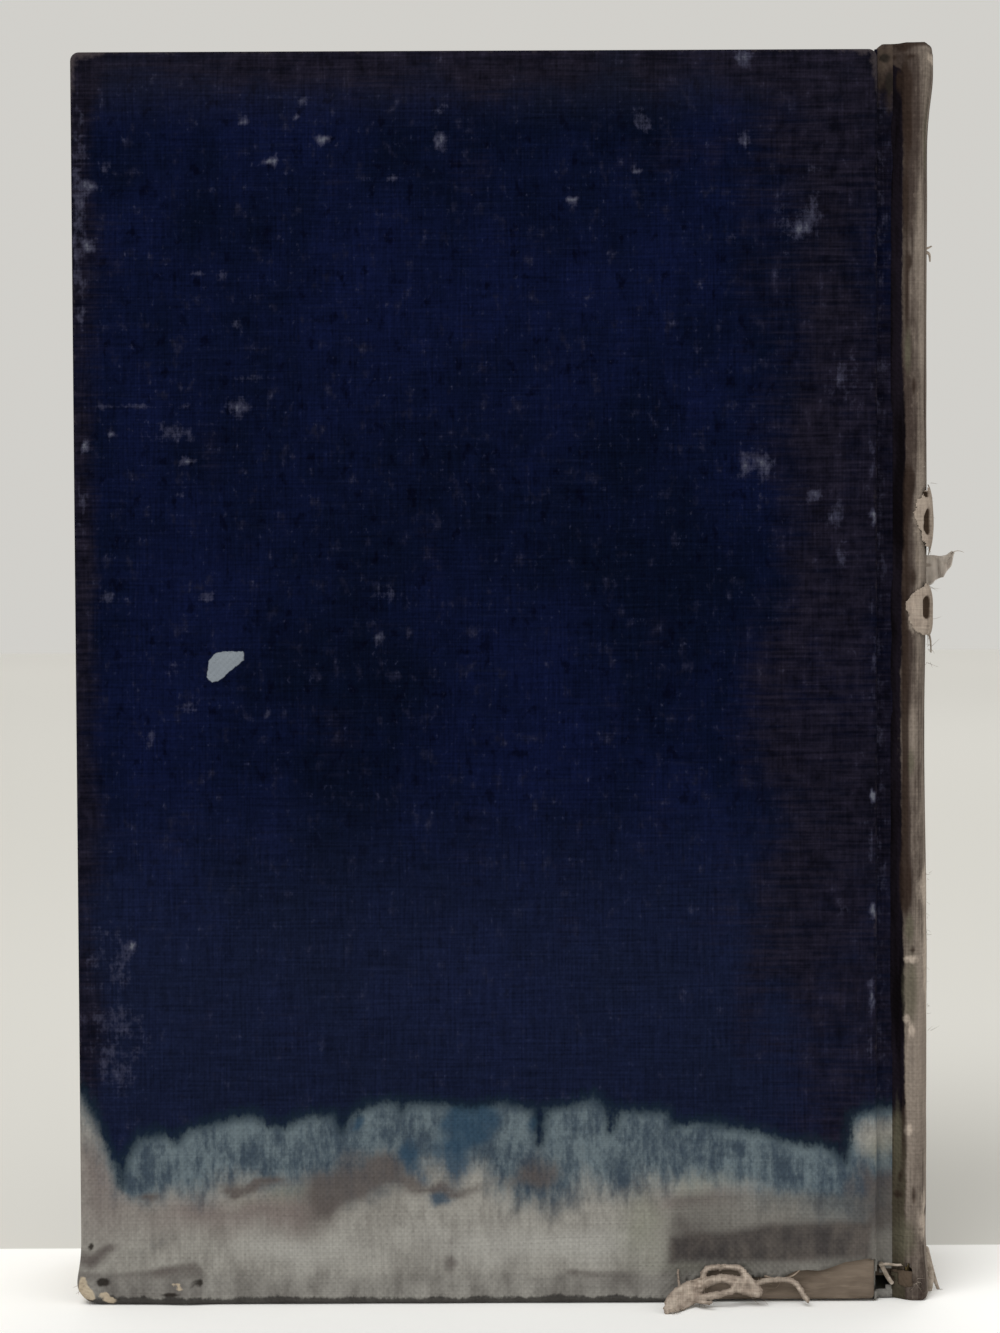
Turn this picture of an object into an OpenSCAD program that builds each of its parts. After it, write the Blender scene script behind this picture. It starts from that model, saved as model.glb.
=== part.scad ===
// Cloth-bound hardback book standing on its tail, back cover towards -Y and spine towards +X.
// A rounded and backed block of sewn gatherings hangs in a case of two boards, a card spine strip
// and cloth. Each cover swings on its cloth joint, in the groove beside the shoulder of the block.

/* [Pages] */
// Height of the trimmed pages
page_h = 190; // [160:1:240]
// Width of a page from its fold to the fore-edge
page_w = 127; // [100:1:170]
// Thickness of the pressed pages
block_t = 26; // [16:1:40]
// Number of folded gatherings sewn together
gatherings = 20; // [8:1:30]
// How far the fold of each gathering bulges out of the back
fold_bulge = 0.35; // [0.1:0.05:0.4]
// How far the middle of the back stands out past the shoulders
back_round = 2; // [1.5:0.1:6]
// How far the middle of the fore-edge is hollowed
fore_round = 2.8; // [1:0.1:5]
// How far each shoulder stands out from the side of the pages
shoulder = 1.4; // [0.8:0.1:1.6]
// Length over which the outer leaves flare up to the shoulder
flare_len = 2.6; // [2.4:0.1:4]

/* [Case] */
// Thickness of the greyboard in the covers
board_t = 2.4; // [1.8:0.1:3.5]
// Overhang of the covers past the pages at head, tail and fore-edge
square = 3.5; // [2.5:0.1:5]
// Flat width of the groove between a cover and the foot of the shoulder
groove_w = 2.4; // [1.5:0.1:5]
// Thickness of the covering cloth
cloth_t = 0.4; // [0.35:0.05:0.5]
// Width of the cloth turned in over the edges
turn_in = 15; // [10:0.5:20]
// Rounding of the board edges
board_edge_r = 0.5; // [0.3:0.1:0.8]
// Radius of a sound board corner
corner_r = 1; // [0.5:0.1:2]
// Thickness of the card strip inside the spine
inlay_t = 0.8; // [0.5:0.1:1.2]
// Room between the lining of the back and the spine strip
hollow = 0.7; // [0.7:0.1:1.5]
// How far the cap at the head of the spine stands above the covers
head_cap = 1.2; // [0.2:0.1:1.5]

/* [Papers and linings] */
// Thickness of an endpaper
leaf_t = 0.2; // [0.15:0.05:0.25]
// Air between a closed cover and the first leaf
air = 0.15; // [0.1:0.05:0.3]
// Thickness of the mull, the gauze that holds block and case together
mull_t = 0.25; // [0.2:0.05:0.35]
// Width of mull glued to each board
mull_wing = 26; // [16:1:35]
// Thickness of the paper lining on the back
lining_t = 0.2; // [0.15:0.05:0.3]
// How far the lining stays short of the ends of the pages
lining_inset = 1; // [0:0.5:5]
// Film of glue between the folds and the mull
glue = 0.02; // [0.01:0.01:0.05]
// Radius of the bead of the headbands
band_r = 0.7; // [0.5:0.1:0.8]
// Thickness of the headband tape
band_t = 0.22; // [0.15:0.01:0.25]
// Length of headband tape glued to the back
band_tape = 8; // [5:0.5:12]

/* [Wear] */
// Radius of the bumped tail corner of the back cover
bumped_r = 3; // [1:0.1:5]
// Radius to which the head of the spine is rubbed
head_r = 3; // [1.5:0.1:4]
// Radius to which the tail of the spine is rubbed
tail_r = 1.5; // [1:0.1:3]
// Length of back cover tail edge where the cloth is worn off
fray_len = 34; // [10:1:45]
// Height of that worn strip on the face of the cover
fray_h = 6; // [2:0.1:8]
// Height of the middle of the tear in the spine cloth
tear_z = 115; // [60:1:140]
// Distance of the tear from the middle of the spine, towards the back cover
tear_y = 8; // [0:0.5:9]
// Length of the tear in the spine cloth
tear_len = 25; // [10:1:35]
// Width of the tear in the spine cloth
tear_w = 10; // [4:0.5:14]
// Length of back joint cloth torn away at the tail
joint_tear = 5; // [1:0.5:12]

/* [Hidden] */

navy = "#14193c";
bleached = "#8d8a80";
page_cream = "#d9cda9";
endpaper_cream = "#cdbd92";
greyboard = "#9a8360";
kraft = "#a98a5c";
gauze = "#cfc6ae";

eps = 0.01;
arc_steps = 24; // straight pieces in half of the spine's curve
flare_steps = 6;
lip_steps = 8;
nose_steps = 6; // straight pieces in the fold of one gathering
corner_steps = 6;

// Levels measured outwards from the middle of the book, through the front half.
side = block_t / 2; // face of the outermost page
inner = side + leaf_t + air; // inner face of a closed cover
turn_face = inner + leaf_t; // face of the turned-in cloth
board_in = turn_face + cloth_t; // inner face of the board
board_out = board_in + board_t;
outer = board_out + cloth_t; // outer face of the cloth
mull_in = board_in - mull_t;
joint_paper_in = mull_in - leaf_t;

// Radial build-up over the arc through the folds' roots.
mull_build = fold_bulge + glue;
lining_build = mull_build + mull_t;
hollow_build = lining_build + lining_t;
inlay_build = hollow_build + hollow;
cloth_build = inlay_build + inlay_t;
case_build = cloth_build + cloth_t;

// The back is an arc through both shoulder tips.
tip_y = side + shoulder;
back_r = (tip_y * tip_y + back_round * back_round) / (2 * back_round);
tip_angle = asin(tip_y / back_r);
strip_steps = 2 * arc_steps - 2;
strip_angle = tip_angle * strip_steps / (2 * arc_steps);

// Places along X, with the whole book centred on the origin.
book_w = case_build - fold_bulge + page_w + fore_round + square;
crown_x = book_w / 2;
centre_x = crown_x - case_build - back_r;
tip_x = centre_x + back_r * cos(tip_angle);
foot_x = tip_x - flare_len;
cover_x1 = foot_x - groove_w; // spine edge of a cover
cover_x0 = -book_w / 2; // fore-edge of a cover
fore_x = cover_x0 + square; // fore-edge corners of the pages
cover_h = page_h + 2 * square;
spine_h = cover_h + head_cap;

// A cover turns about an upright line over the middle of its groove. The line is 0.2 further out than
// half way between the cover's face and the crest of the cloth over the shoulder, so that a cover
// folded right back lies 0.4 above the shoulder.

// One side of the block at the shoulder, d outside the outermost page, t from foot to tip.
function flare(t, d) =
    let (slope = 2 * shoulder * t / flare_len, n = norm([slope, 1]))
    [foot_x + flare_len * t - d * slope / n, side + shoulder * t * t + d / n];

// Distance from the shoulder tip while the path turns from the flare on to the arc of the back.
function lip_reach(a, d, build) =
    let (u = a >= 90 ? 0 : (90 - a) / (90 - tip_angle))
    d + (build - d) * u * u * (3 - 2 * u);

// Half of a layer's outline: d outside the page at the side, build outside the arc at the back.
function half_path(d, build) =
    let (start = 90 + atan(2 * shoulder / flare_len))
    concat(
        [for (i = [0:flare_steps]) flare(i / flare_steps, d)],
        [for (i = [1:lip_steps - 1])
            let (a = start + (tip_angle - start) * i / lip_steps, r = lip_reach(a, d, build))
            [tip_x + r * cos(a), tip_y + r * sin(a)]],
        arc_points(back_r + build, tip_angle, 0, arc_steps)
    );

function arc_points(r, a0, a1, n) =
    [for (i = [0:n]) let (a = a0 + (a1 - a0) * i / n) [centre_x + r * cos(a), r * sin(a)]];

function mirrored(points) = [for (i = [len(points) - 1:-1:0]) [points[i][0], -points[i][1]]];
function backwards(points) = [for (i = [len(points) - 1:-1:0]) points[i]];

// The whole outline of a layer round the back, from the front foot to the back foot.
function layer_path(d, build) =
    let (half = half_path(d, build), other = mirrored(half))
    concat(half, [for (i = [1:len(other) - 1]) other[i]]);

// Corner arc of a rounded rectangle.
function corner(cx, cy, r, a) =
    [for (i = [0:corner_steps]) let (b = a + 90 * i / corner_steps) [cx + r * cos(b), cy + r * sin(b)]];

// Rectangle with its own radius at each corner: low-low, high-low, high-high, low-high.
function round_rect(x0, x1, y0, y1, r) = concat(
    corner(x0 + r[0], y0 + r[0], r[0], 180),
    corner(x1 - r[1], y0 + r[1], r[1], 270),
    corner(x1 - r[2], y1 - r[2], r[2], 0),
    corner(x0 + r[3], y1 - r[3], r[3], 90)
);

// Fold of gathering i: a half ellipse standing on the arc of the back.
function gathering_fold(i) =
    [for (k = [0:nose_steps])
        let (u = 2 * k / nose_steps - 1,
             a = tip_angle * (1 - 2 * (i + k / nose_steps) / gatherings),
             r = back_r + fold_bulge * sqrt(max(0, 1 - u * u)))
        [centre_x + r * cos(a), r * sin(a)]];

// Hollow fore-edge, from the back corner to the front corner.
function fore_edge() =
    let (r = (side * side + fore_round * fore_round) / (2 * fore_round), half = asin(side / r))
    [for (i = [-arc_steps:arc_steps])
        let (a = half * i / arc_steps)
        [fore_x + fore_round - r + r * cos(a), r * sin(a)]];

module slab(x, y, z) {
    translate([x[0], y[0], z[0]]) cube([x[1] - x[0], y[1] - y[0], z[1] - z[0]]);
}

// A layer between two outlines, standing from z0 to z1.
module layer(outside, inside, z0, z1) {
    translate([0, 0, z0]) linear_extrude(z1 - z0) polygon(concat(outside, backwards(inside)));
}

// A strip bent round the back, as wide as the card in the spine.
module back_strip(build0, build1, z0, z1) {
    layer(arc_points(back_r + build1, strip_angle, -strip_angle, strip_steps),
          arc_points(back_r + build0, strip_angle, -strip_angle, strip_steps), z0, z1);
}

// Everything under the rubbed head and tail of the spine, inset on all sides.
module spine_envelope(inset) {
    translate([0, book_w, 0]) rotate([90, 0, 0]) linear_extrude(2 * book_w)
        polygon(round_rect(-book_w / 2, crown_x - inset, inset, spine_h - inset,
                           [eps, tail_r - inset, head_r - inset, eps]));
}

// A front-half slab with rounded long edges and its own four corner radii.
module rounded_slab(x, y, z, edge_r, corners) {
    edges = [edge_r, edge_r, edge_r, edge_r];
    intersection() {
        translate([0, y[1], 0]) rotate([90, 0, 0]) linear_extrude(y[1] - y[0])
            polygon(round_rect(x[0], x[1], z[0], z[1], corners));
        translate([0, 0, z[0]]) linear_extrude(z[1] - z[0])
            polygon(round_rect(x[0], x[1], y[0], y[1], edges));
        translate([x[0], 0, 0]) rotate([90, 0, 90]) linear_extrude(x[1] - x[0])
            polygon(round_rect(y[0], y[1], z[0], z[1], edges));
    }
}

module on_back() {
    mirror([0, 1, 0]) children();
}

module text_block() {
    flared = [for (i = [0:flare_steps]) flare(i / flare_steps, 0)];
    folds = [for (i = [0:gatherings - 1]) each gathering_fold(i)];
    color(page_cream) translate([0, 0, square]) linear_extrude(page_h)
        polygon(concat(flared, folds, mirrored(flared), fore_edge()));
}

// First leaf, tipped on to the block and following its shoulder.
module flyleaf() {
    color(endpaper_cream) {
        layer(concat([[fore_x, side + leaf_t]], [for (i = [0:flare_steps]) flare(i / flare_steps, leaf_t)]),
              concat([[fore_x, side]], [for (i = [0:flare_steps]) flare(i / flare_steps, 0)]),
              square, square + page_h);
    }
}

module mull() {
    color(gauze) layer(layer_path(board_in - side, lining_build), layer_path(mull_in - side, mull_build),
                       turn_in + glue, cover_h - turn_in - glue);
}

module back_lining() {
    color(kraft) back_strip(lining_build, hollow_build, square + lining_inset,
                            square + page_h - lining_inset);
}

// Cotton bead on the edge of the pages, with its tape glued to the lining. up is 1 at the head, -1 at the tail.
module band(up) {
    edge_z = up > 0 ? square + page_h : square;
    tape_x = back_r + hollow_build;
    color(endpaper_cream) translate([centre_x, 0, edge_z]) mirror([0, 0, up > 0 ? 0 : 1])
        rotate([0, 0, -strip_angle]) rotate_extrude(angle = 2 * strip_angle, $fn = 96) {
            translate([tape_x + band_t - band_r - glue, band_r]) circle(band_r, $fn = 24);
            translate([tape_x, -band_tape]) square([band_t, band_tape + band_r]);
        }
}

module inlay_body() {
    intersection() {
        back_strip(inlay_build, cloth_build, 0, spine_h);
        spine_envelope(cloth_t);
    }
}

module spine_inlay() {
    color(kraft) inlay_body();
}

// Jagged hole worn in the spine cloth, in the plane facing +X.
module spine_tear() {
    y = tear_w / 2;
    z = tear_len / 2;
    translate([crown_x - inlay_t - cloth_t - back_round, -tear_y, tear_z]) rotate([90, 0, 90])
        linear_extrude(back_round + 2)
            polygon([[-0.5 * y, -z], [0.1 * y, -0.8 * z], [0.5 * y, -0.9 * z], [y, -0.4 * z],
                     [0.7 * y, 0.1 * z], [0.9 * y, 0.5 * z], [0.3 * y, z], [-0.2 * y, 0.7 * z],
                     [-0.8 * y, 0.9 * z], [-y, 0.2 * z], [-0.6 * y, -0.3 * z], [-y, -0.6 * z]]);
}

// Spine panel: over the strip, round both shoulders, and turned in at head and tail.
module spine_cloth() {
    color(bleached) difference() {
        intersection() {
            union() {
                layer(layer_path(board_in - side + cloth_t, case_build),
                      layer_path(board_in - side, cloth_build), 0, spine_h);
                for (z = [[0, turn_in], [spine_h - turn_in, spine_h]])
                    back_strip(inlay_build - cloth_t, cloth_build + cloth_t / 2, z[0], z[1]);
            }
            spine_envelope(0);
        }
        inlay_body();
        spine_tear();
    }
}

// The endpaper's free part: from its fold at the shoulder tip down into the groove.
module joint_paper() {
    fold_t = 1 - 1 / flare_steps; // where along the flare the fold is glued down to the flyleaf
    gap = joint_paper_in - side;
    color(endpaper_cream) union() {
        layer(concat([[cover_x1, mull_in]], [for (i = [0:flare_steps]) flare(i / flare_steps, mull_in - side)]),
              concat([[cover_x1, joint_paper_in]], [for (i = [0:flare_steps]) flare(i / flare_steps, gap)]),
              square, square + page_h);
        layer([flare(fold_t, gap + leaf_t / 2), flare(1, gap + leaf_t / 2)],
              [flare(fold_t, leaf_t), flare(1, leaf_t)], square, square + page_h);
    }
}

module joint_mull() {
    color(gauze) slab([cover_x1, foot_x], [mull_in, board_in], [turn_in + glue, cover_h - turn_in - glue]);
}

module joint_cloth(tail_gap) {
    color(navy) slab([cover_x1, foot_x], [board_in, board_in + cloth_t], [tail_gap, cover_h]);
}

module board_body(tail_corner_r) {
    rounded_slab([cover_x0 + cloth_t, cover_x1 - cloth_t], [board_in, board_out],
                 [cloth_t, cover_h - cloth_t], board_edge_r,
                 [tail_corner_r, corner_r, corner_r, corner_r]);
}

// Room inside the three turn-ins, where the board shows before the pastedown covers it.
module inner_window(margin, y0, y1) {
    slab([cover_x0 + turn_in + margin, cover_x1 + 1], [y0, y1],
         [turn_in + margin, cover_h - turn_in - margin]);
}

// Cloth round a board: the outer face, three edges turned in, and the spine edge left to the joint.
module cover_cloth(tail_corner_r) {
    edge_r = board_edge_r + cloth_t;
    wrap_r = corner_r + cloth_t;
    difference() {
        rounded_slab([cover_x0, cover_x1], [turn_face, outer], [0, cover_h], edge_r,
                     [tail_corner_r + cloth_t, wrap_r, wrap_r, wrap_r]);
        board_body(tail_corner_r);
        inner_window(0, turn_face - 1, board_in);
    }
}

// Strip at the tail edge where rubbing has taken the cloth off the board.
module tail_fray() {
    l = fray_len;
    h = fray_h;
    translate([cover_x1, outer + 1, 0]) rotate([90, 0, 0]) linear_extrude(outer + 1 - board_in - cloth_t)
        polygon([[1, -1], [1, 0.95 * h], [-0.1 * l, h], [-0.25 * l, 0.92 * h], [-0.4 * l, h],
                 [-0.52 * l, 0.85 * h], [-0.58 * l, 0.45 * h], [-0.7 * l, 0.6 * h], [-0.82 * l, 0.3 * h],
                 [-0.9 * l, 0.4 * h], [-l, 0.1 * h], [-l, -1]]);
}

module mull_wing_body() {
    slab([cover_x1 - mull_wing, cover_x1], [mull_in, board_in], [turn_in + glue, cover_h - turn_in - glue]);
}

// Pasted half of the endpaper: high over the turned-in cloth and the mull, sunk between them.
module pastedown() {
    wing_x = cover_x1 - mull_wing;
    color(endpaper_cream) difference() {
        slab([fore_x, cover_x1], [inner, board_in], [square, square + page_h]);
        difference() {
            slab([cover_x0, cover_x1 + 1], [turn_face, board_in + 1], [0, cover_h]);
            inner_window(0, inner, board_in + 2);
        }
        intersection() {
            inner_window(leaf_t, inner - 1, board_in - leaf_t);
            slab([cover_x0, wing_x - leaf_t], [0, outer], [0, cover_h]);
        }
        inner_window(leaf_t, inner - 1, joint_paper_in);
        slab([wing_x, cover_x1 + 1], [mull_in, board_in + 1], [turn_in, cover_h - turn_in]);
    }
}

module front_cloth() {
    color(navy) cover_cloth(corner_r);
}

module back_cloth() {
    color(navy) on_back() difference() {
        cover_cloth(bumped_r);
        tail_fray();
    }
}

text_block();
flyleaf();  // front_flyleaf
on_back() flyleaf();  // back_flyleaf
mull();
back_lining();
band(1);  // head_band
band(-1);  // tail_band
spine_inlay();
spine_cloth();
joint_paper();  // front_joint_paper
joint_mull();  // front_joint_mull
joint_cloth(0);  // front_joint_cloth
on_back() joint_paper();  // back_joint_paper
on_back() joint_mull();  // back_joint_mull
on_back() joint_cloth(joint_tear);  // back_joint_cloth
color(greyboard) board_body(corner_r);  // front_board
front_cloth();
color(gauze) mull_wing_body();  // front_mull_wing
pastedown();  // front_pastedown
color(greyboard) on_back() board_body(bumped_r);  // back_board
back_cloth();
color(gauze) on_back() mull_wing_body();  // back_mull_wing
on_back() pastedown();  // back_pastedown
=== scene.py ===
"""An old cloth-bound hardback on its tail, its back cover towards the viewer and its spine on the right.

Lengths are in millimetres until a mesh is made. A cover is drawn in its own plane: x from the fore-edge
of the book to the spine, z up from the tail, and v outwards from the middle of the book.
"""

import bpy
import numpy as np
from mathutils import Euler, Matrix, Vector


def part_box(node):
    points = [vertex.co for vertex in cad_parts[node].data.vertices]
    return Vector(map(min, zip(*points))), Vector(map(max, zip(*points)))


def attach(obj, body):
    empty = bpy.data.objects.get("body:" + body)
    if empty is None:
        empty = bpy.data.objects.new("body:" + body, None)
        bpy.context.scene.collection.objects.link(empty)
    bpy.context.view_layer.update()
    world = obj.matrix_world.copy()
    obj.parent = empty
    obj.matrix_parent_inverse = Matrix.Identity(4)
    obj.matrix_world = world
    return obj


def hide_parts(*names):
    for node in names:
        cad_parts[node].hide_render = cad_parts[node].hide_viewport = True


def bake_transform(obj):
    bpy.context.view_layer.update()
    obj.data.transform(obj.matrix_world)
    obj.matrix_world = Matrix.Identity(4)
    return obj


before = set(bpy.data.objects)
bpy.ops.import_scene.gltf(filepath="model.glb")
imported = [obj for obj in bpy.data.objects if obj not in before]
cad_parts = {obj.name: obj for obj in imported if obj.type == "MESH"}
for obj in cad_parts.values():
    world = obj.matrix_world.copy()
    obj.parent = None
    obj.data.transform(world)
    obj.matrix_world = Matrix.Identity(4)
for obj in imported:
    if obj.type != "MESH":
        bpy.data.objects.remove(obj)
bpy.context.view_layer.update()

MM = 0.001

# Places taken from the solids.


def solid_box(node):
    """The low and high corners of a solid, in millimetres."""
    return [np.array(corner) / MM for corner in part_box(node)]


COVER_LOW, COVER_HIGH = solid_box("front_cloth")
BLOCK_LOW, BLOCK_HIGH = solid_box("text_block")
SPINE_LOW, SPINE_HIGH = solid_box("spine_cloth")
GROOVE_LOW, GROOVE_HIGH = solid_box("front_joint_cloth")
MULL_LOW, MULL_HIGH = solid_box("front_joint_mull")
FOLD_LOW, FOLD_HIGH = solid_box("front_joint_paper")
PASTED_LOW, PASTED_HIGH = solid_box("front_pastedown")

FORE_X, EDGE_X, FOOT_X = COVER_LOW[0], COVER_HIGH[0], SPINE_LOW[0]
COVER_W, COVER_H = EDGE_X - FORE_X, COVER_HIGH[2]
INNER, OUTER = COVER_LOW[1], COVER_HIGH[1]
CLOTH_T = GROOVE_HIGH[1] - GROOVE_LOW[1]
GROOVE_V = GROOVE_HIGH[1]
SIDE = solid_box("front_flyleaf")[0][1]
LEAF_T = 0.2
MULL_T = MULL_HIGH[1] - MULL_LOW[1]
CROWN_X, SPINE_H = SPINE_HIGH[0], SPINE_HIGH[2]

# The back of the block is an arc through both shoulder tips.
FOLD_BULGE = 0.35
BACK_ROUND = 2.0
TIP_V = BLOCK_HIGH[1]
ROOT_X = BLOCK_HIGH[0] - FOLD_BULGE
BACK_R = (TIP_V ** 2 + BACK_ROUND ** 2) / (2 * BACK_ROUND)
CENTRE_X = ROOT_X - BACK_R
TIP_ANGLE = np.arcsin(TIP_V / BACK_R)
TIP_X = CENTRE_X + BACK_R * np.cos(TIP_ANGLE)
FLARE_LEN = TIP_X - FOOT_X
SHOULDER = TIP_V - SIDE
CASE_BUILD = CROWN_X - ROOT_X
CAP_T = 1.6  # cloth, card and turned-in cloth at the head and tail of the spine
PAGE_FOOT, PAGE_TOP = BLOCK_LOW[2], BLOCK_HIGH[2]
SQUARE = PAGE_FOOT  # how far the covers stand past the pages

EDGE_R = 0.9  # rounding of a covered board edge
ROLL, WALL = EDGE_R * np.pi / 2, OUTER - INNER - 2 * EDGE_R  # cloth round that edge, and straight across it
CORNER_R = 1.4  # a sound corner of a cover
BUMPED_R = 3.4  # the bumped tail corner of the back cover
TURN_IN = 15.0
COVER_CELL, SPINE_CELL = 0.86, 0.55  # spacing of the points of the cloth
NOISE_APART = 40.0  # keeps the patterns of the two covers from matching

# The camera, fitted to the corners of the cover in the photograph. Its place is in millimetres.
PHOTO_W, PHOTO_H = 1000, 1333
FOCAL_PIXELS = 2550.8
CAMERA_PITCH = -1.81
CAMERA_ROLL = -0.245
CAMERA_PLACE = np.array([FORE_X + 66.7, -OUTER - 400.0, 113.5])
CAMERA_TURN = (Euler((np.radians(90 + CAMERA_PITCH), 0, 0)).to_matrix()
               @ Euler((0, 0, np.radians(CAMERA_ROLL))).to_matrix())

# The back cover's corners in the photograph, in pixels.
HEAD_Y, TAIL_Y = 52.0, 1302.5
FORE_EDGE_X = (70.5, 82.5)  # at the head and at the tail
SPINE_EDGE_X = (877.0, 880.0)


def on_cover(points):
    """Photograph pixels to x and z on the back cover."""
    px, py = np.asarray(points, float).T
    down = (py - HEAD_Y) / (TAIL_Y - HEAD_Y)
    left = FORE_EDGE_X[0] + down * (FORE_EDGE_X[1] - FORE_EDGE_X[0])
    right = SPINE_EDGE_X[0] + down * (SPINE_EDGE_X[1] - SPINE_EDGE_X[0])
    return np.stack([COVER_W * (px - left) / (right - left), COVER_H * (1 - down)], axis=1)


def photo_length(pixels):
    return pixels * COVER_H / (TAIL_Y - HEAD_Y)


def photo_height(py):
    return COVER_H * (TAIL_Y - py) / (TAIL_Y - HEAD_Y)


def in_view(px, py, out):
    """The points that the camera sees at some pixels, a given distance out from the middle of the book."""
    px, py = np.asarray(px, float), np.asarray(py, float)
    rays = np.stack([px - PHOTO_W / 2, PHOTO_H / 2 - py, 0 * px - FOCAL_PIXELS], axis=-1)
    rays = rays @ np.array(CAMERA_TURN).T
    times = (-np.asarray(out, float) - CAMERA_PLACE[1]) / rays[..., 1]
    return CAMERA_PLACE + rays * np.asarray(times)[..., None]


# Smooth fields over the plane.


def smooth(value, low, high):
    t = np.clip((value - low) / (high - low), 0, 1)
    return t * t * (3 - 2 * t)


def wobble(x, z, size, seed):
    """Smooth value noise from -1 to 1, with lumps of the given size along x and z."""
    sx, sz = size if isinstance(size, tuple) else (size, size)
    cells, far_off = 64, 1000
    table = np.random.default_rng(seed).uniform(-1, 1, (cells, cells))
    gx, gz = x / sx + far_off, z / sz + far_off
    ix, iz = np.floor(gx).astype(int), np.floor(gz).astype(int)
    fx, fz = gx - ix, gz - iz
    fx, fz = fx * fx * (3 - 2 * fx), fz * fz * (3 - 2 * fz)

    def corner(i, j):
        return table[(ix + i) % cells, (iz + j) % cells]

    low = corner(0, 0) * (1 - fx) + corner(1, 0) * fx
    high = corner(0, 1) * (1 - fx) + corner(1, 1) * fx
    return low * (1 - fz) + high * fz


def hump(x, z, middle_x, middle_z, reach_x, reach_z):
    """A soft oval mound, 1 in the middle."""
    return np.exp(-((x - middle_x) / reach_x) ** 2 - ((z - middle_z) / reach_z) ** 2)


def on_segment(x, z, start, end):
    """How far along a segment the nearest place to each point is, from 0 to 1, and its distance."""
    (ax, az), (bx, bz) = start, end
    dx, dz = bx - ax, bz - az
    t = np.clip(((x - ax) * dx + (z - az) * dz) / (dx * dx + dz * dz), 0, 1)
    return t, np.hypot(x - ax - t * dx, z - az - t * dz)


def segment_distance(x, z, line, closed=False):
    """Distance to a broken line, without sign."""
    ends = np.roll(line, -1, axis=0) if closed else line[1:]
    starts = line if closed else line[:-1]
    best = np.full(x.shape, 1e9)
    for start, end in zip(starts, ends):
        best = np.minimum(best, on_segment(x, z, start, end)[1])
    return best


def inside_distance(x, z, outline):
    """Distance to a closed outline, positive inside it."""
    inside = np.zeros(x.shape, bool)
    for (ax, az), (bx, bz) in zip(outline, np.roll(outline, -1, axis=0)):
        crosses = (az > z) != (bz > z)
        with np.errstate(divide="ignore", invalid="ignore"):
            cut = ax + (z - az) * (bx - ax) / (bz - az)
        inside ^= crosses & (x < cut)
    distance = segment_distance(x, z, outline, closed=True)
    return np.where(inside, distance, -distance)


def blob(x, z, patch):
    """A soft oval patch, 1 in the middle: its middle, width and height in pixels of the photograph."""
    px, py, wide, high = patch
    (cx, cz), = on_cover([(px, py)])
    return hump(x, z, cx, cz, photo_length(wide / 2), photo_length(high / 2))


# Marks on the back cover, in pixels of the photograph: lines and outlines by their points, soft patches by
# their middle, width and height.
TIDE_LINE = [
    (60, 1050), (84, 1089), (99, 1117), (109, 1138), (119, 1162), (123, 1181), (127, 1154), (133, 1142),
    (142, 1132), (158, 1129), (174, 1130), (180, 1137), (187, 1124), (207, 1120), (233, 1113), (256, 1110),
    (268, 1118), (284, 1122), (301, 1113), (315, 1110), (335, 1111), (343, 1128), (350, 1113), (362, 1103),
    (381, 1098), (400, 1097), (403, 1107), (408, 1098), (438, 1099), (473, 1103), (499, 1098), (524, 1103),
    (536, 1106), (541, 1140), (546, 1106), (577, 1100), (596, 1094), (609, 1106), (614, 1127), (619, 1107),
    (660, 1108), (670, 1110), (673, 1122), (701, 1119), (730, 1123), (762, 1128), (783, 1136), (809, 1140),
    (828, 1143), (838, 1150), (846, 1161), (849, 1147), (851, 1127), (854, 1113), (866, 1109), (900, 1103),
]
CHIP = [(208, 674), (210, 654), (219, 646), (245, 646), (246, 654), (236, 662), (226, 671), (216, 678)]
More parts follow.
